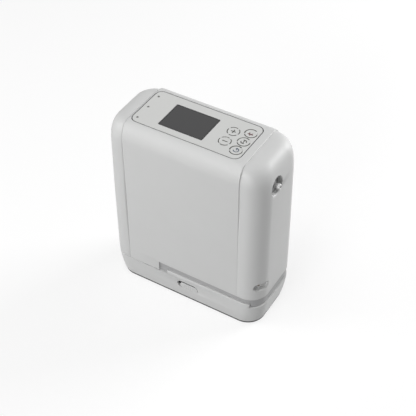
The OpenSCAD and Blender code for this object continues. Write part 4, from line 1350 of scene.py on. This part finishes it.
def slotted_plate(name, low, high, along, corner, slots, slot_low, slot_high):
    """A plate with a column of round-ended slots, one above the other."""
    plate = block(name, low, high, along, corner, 10)
    middle = (low.z + high.z) / 2
    for i in range(slots):
        z = middle + (i - (slots - 1) / 2) * SLOT_PITCH
        slot = block("slot", (*slot_low, z - SLOT_R), (*slot_high, z + SLOT_R), along, SLOT_R - 0.01, 5)
        combine(plate, slot)
    return plate


def make_cover():
    """The intake cover: a snap-in plate with slots, and two clips behind it."""
    low, high = COVER_LOW.copy(), COVER_HIGH.copy()
    low.y = HALF_W - COVER_SEAT
    middle = (low + high) / 2
    cover = slotted_plate("intake_louvres", low, high, "Y", 4.6, 9, (middle.x - 24, 0), (middle.x + 24, FAR))
    round_face(cover, "Y", HALF_W, 0.35)
    for x in (middle.x - 29, middle.x + 29):
        clip = block("clip", (x - 1.4, HALF_W - 5, middle.z - 5), (x + 1.4, HALF_W - 1.2, middle.z + 5))
        combine(cover, clip, "UNION")
    return cover


def make_grille():
    """The exhaust grille set into the left end."""
    grille = slotted_plate("exhaust_louvres", GRILLE_LOW, GRILLE_HIGH, "X", 4.9, 11, (-FAR, -13), (0, 13))
    round_face(grille, "X", GRILLE_LOW.x, 0.35)
    return grille


FEATURE_PIECES["outlet_barb"] = add_piece(make_barb(), "housing", "bright_metal", "outlet_barb")
add_piece(make_socket(), "housing", "shell", "power_inlet")
add_piece(make_cover(), "intake_cover", "shell", "intake_cover")
add_piece(make_grille(), "housing", "band", "exhaust_grille")
add_piece(make_gland(), "housing", "seal")

# ---- the frame's own nodes ----

for part in frame["record"]["subparts"]:
    node = frame["nodes"][part["node"]]
    if not node.hide_render:
        node.data.materials.clear()
        look = "seal" if part["node"] == "outlet_seal" else part["material_slot"]
        node.data.materials.append(FINISHES[look])

# ---- floor, world and lamps ----

DIRECT_RAYS = ("Is Camera Ray", "Is Glossy Ray", "Is Transmission Ray")


def floor_paper():
    """White paper; what the camera sees of it is lifted towards white, and keeps a softer shadow."""
    paint = Finish("floor_paper", Base_Color=grey(FLOOR_BOUNCE), Roughness=0.9, Specular_IOR_Level=0.1)
    tree = paint.tree
    seen = paint.node("BsdfDiffuse", {}, {"Color": grey(FLOOR_SHADOW)})
    glow = paint.node("Emission", {}, {"Color": grey(1), "Strength": FLOOR_LIFT})
    both = paint.node("AddShader", {}, {0: seen, 1: glow})
    direct = [paint.node("LightPath", {}, {}, ray) for ray in DIRECT_RAYS]
    seen_directly = (direct[0] + direct[1] + direct[2]).limited()
    paper = Value(paint, paint.shader.outputs[0])
    surface = paint.node("MixShader", {}, {0: seen_directly, 1: paper, 2: both})
    tree.links.new(surface.socket, tree.nodes["Material Output"].inputs["Surface"])
    return paint.material


def add_floor():
    bpy.ops.object.select_all(action="DESELECT")
    bpy.ops.mesh.primitive_plane_add(size=12)
    floor = named("floor")
    floor.data.materials.append(floor_paper())


def add_world():
    """A plain bright room: white where the camera, glossy and clear surfaces look at it."""
    world = bpy.data.worlds.new("room")
    bpy.context.scene.world = world
    world.use_nodes = True
    tree = world.node_tree
    surface = tree.nodes["Background"]
    path = tree.nodes.new("ShaderNodeLightPath")
    strength = tree.nodes.new("ShaderNodeMapRange")
    strength.inputs["To Min"].default_value = ROOM_LIGHT
    strength.inputs["To Max"].default_value = 1.0
    last = path.outputs[DIRECT_RAYS[0]]
    for ray in DIRECT_RAYS[1:]:
        either = tree.nodes.new("ShaderNodeMath")
        either.operation = "MAXIMUM"
        tree.links.new(last, either.inputs[0])
        tree.links.new(path.outputs[ray], either.inputs[1])
        last = either.outputs[0]
    tree.links.new(last, strength.inputs["Value"])
    tree.links.new(strength.outputs["Result"], surface.inputs["Strength"])
    surface.inputs["Color"].default_value = (1, 1, 1, 1)


def add_softbox(name, azimuth, elevation, size, power):
    """A square area lamp that faces the object from a direction; azimuth 0 is +X and 90 is +Y."""
    data = bpy.data.lights.new(name, "AREA")
    data.shape = "SQUARE"
    data.size = size * MM
    data.energy = power
    lamp = bpy.data.objects.new(name, data)
    bpy.context.scene.collection.objects.link(lamp)
    turn, rise = math.radians(azimuth), math.radians(elevation)
    away = Vector((math.cos(turn) * math.cos(rise), math.sin(turn) * math.cos(rise), math.sin(rise)))
    lamp.location = (Vector((0, 0, LAMP_AIM)) + away * LAMP_DISTANCE) * MM
    lamp.rotation_mode = "QUATERNION"
    lamp.rotation_quaternion = away.to_track_quat("Z", "Y")


LAMP_AIM = 100
LAMP_DISTANCE = 1800
ROOM_LIGHT = 0.1
FLOOR_BOUNCE = 0.35
FLOOR_SHADOW = 0.3
FLOOR_LIFT = 0.69
add_floor()
add_world()
add_softbox("softbox_right", 58, 20, 1000, 32)
add_softbox("softbox_front", 270, 18, 800, 16)
add_softbox("softbox_left", 212, 16, 700, 8.5)
add_softbox("softbox_top", 240, 76, 900, 13.5)

bpy.context.scene.view_settings.view_transform = "Standard"

# ---- how true the image points and the size are ----


def places_of(obj):
    return [obj.matrix_world @ v.co for v in obj.data.vertices]


def middle_seen(places, tree):
    """The middle of what shows of some places, in pixels, or None."""
    eye = camera.matrix_world.translation
    seen = []
    for place in places:
        along = place - eye
        if tree.ray_cast(eye, along.normalized(), along.length - 0.1 * MM)[0] is None:
            seen.append(seen_at(place))
    if not seen:
        return None
    return [(min(values) + max(values)) / 2 for values in zip(*seen)]


def write_points():
    """Works out how far each thing shows from its image point, in pixels; the result is neither returned nor
    written out.
    """
    outline = [seen_at(place) for obj in SHOWN for place in places_of(obj)]
    xs, ys = zip(*outline)
    edges = {"left_edge": min(xs), "right_edge": max(xs), "top_edge": min(ys), "bottom_edge": max(ys)}
    away = {name: round(seen - EDGE_POINTS[name], 2) for name, seen in edges.items()}
    tree = surface_of(SHOWN)
    places = {name: places_of(obj) for name, obj in FEATURE_PIECES.items()}
    to_port = port_frame().inverted()
    places["power_inlet"] = [p for p in places_of(right_cap) if abs((to_port @ p).x) < (PORT_W / 2 + 0.1) * MM
                             and abs((to_port @ p).y) < (PORT_H / 2 + 0.1) * MM
                             and abs((to_port @ p).z) < (PORT_DEPTH + 0.1) * MM]
    places["latch"] = places_of(thumb)
    for name, point in FEATURE_POINTS.items():
        seen = middle_seen(places[name], tree)
        away[name] = seen and [round(s - p, 2) for s, p in zip(seen, point)]


write_points()
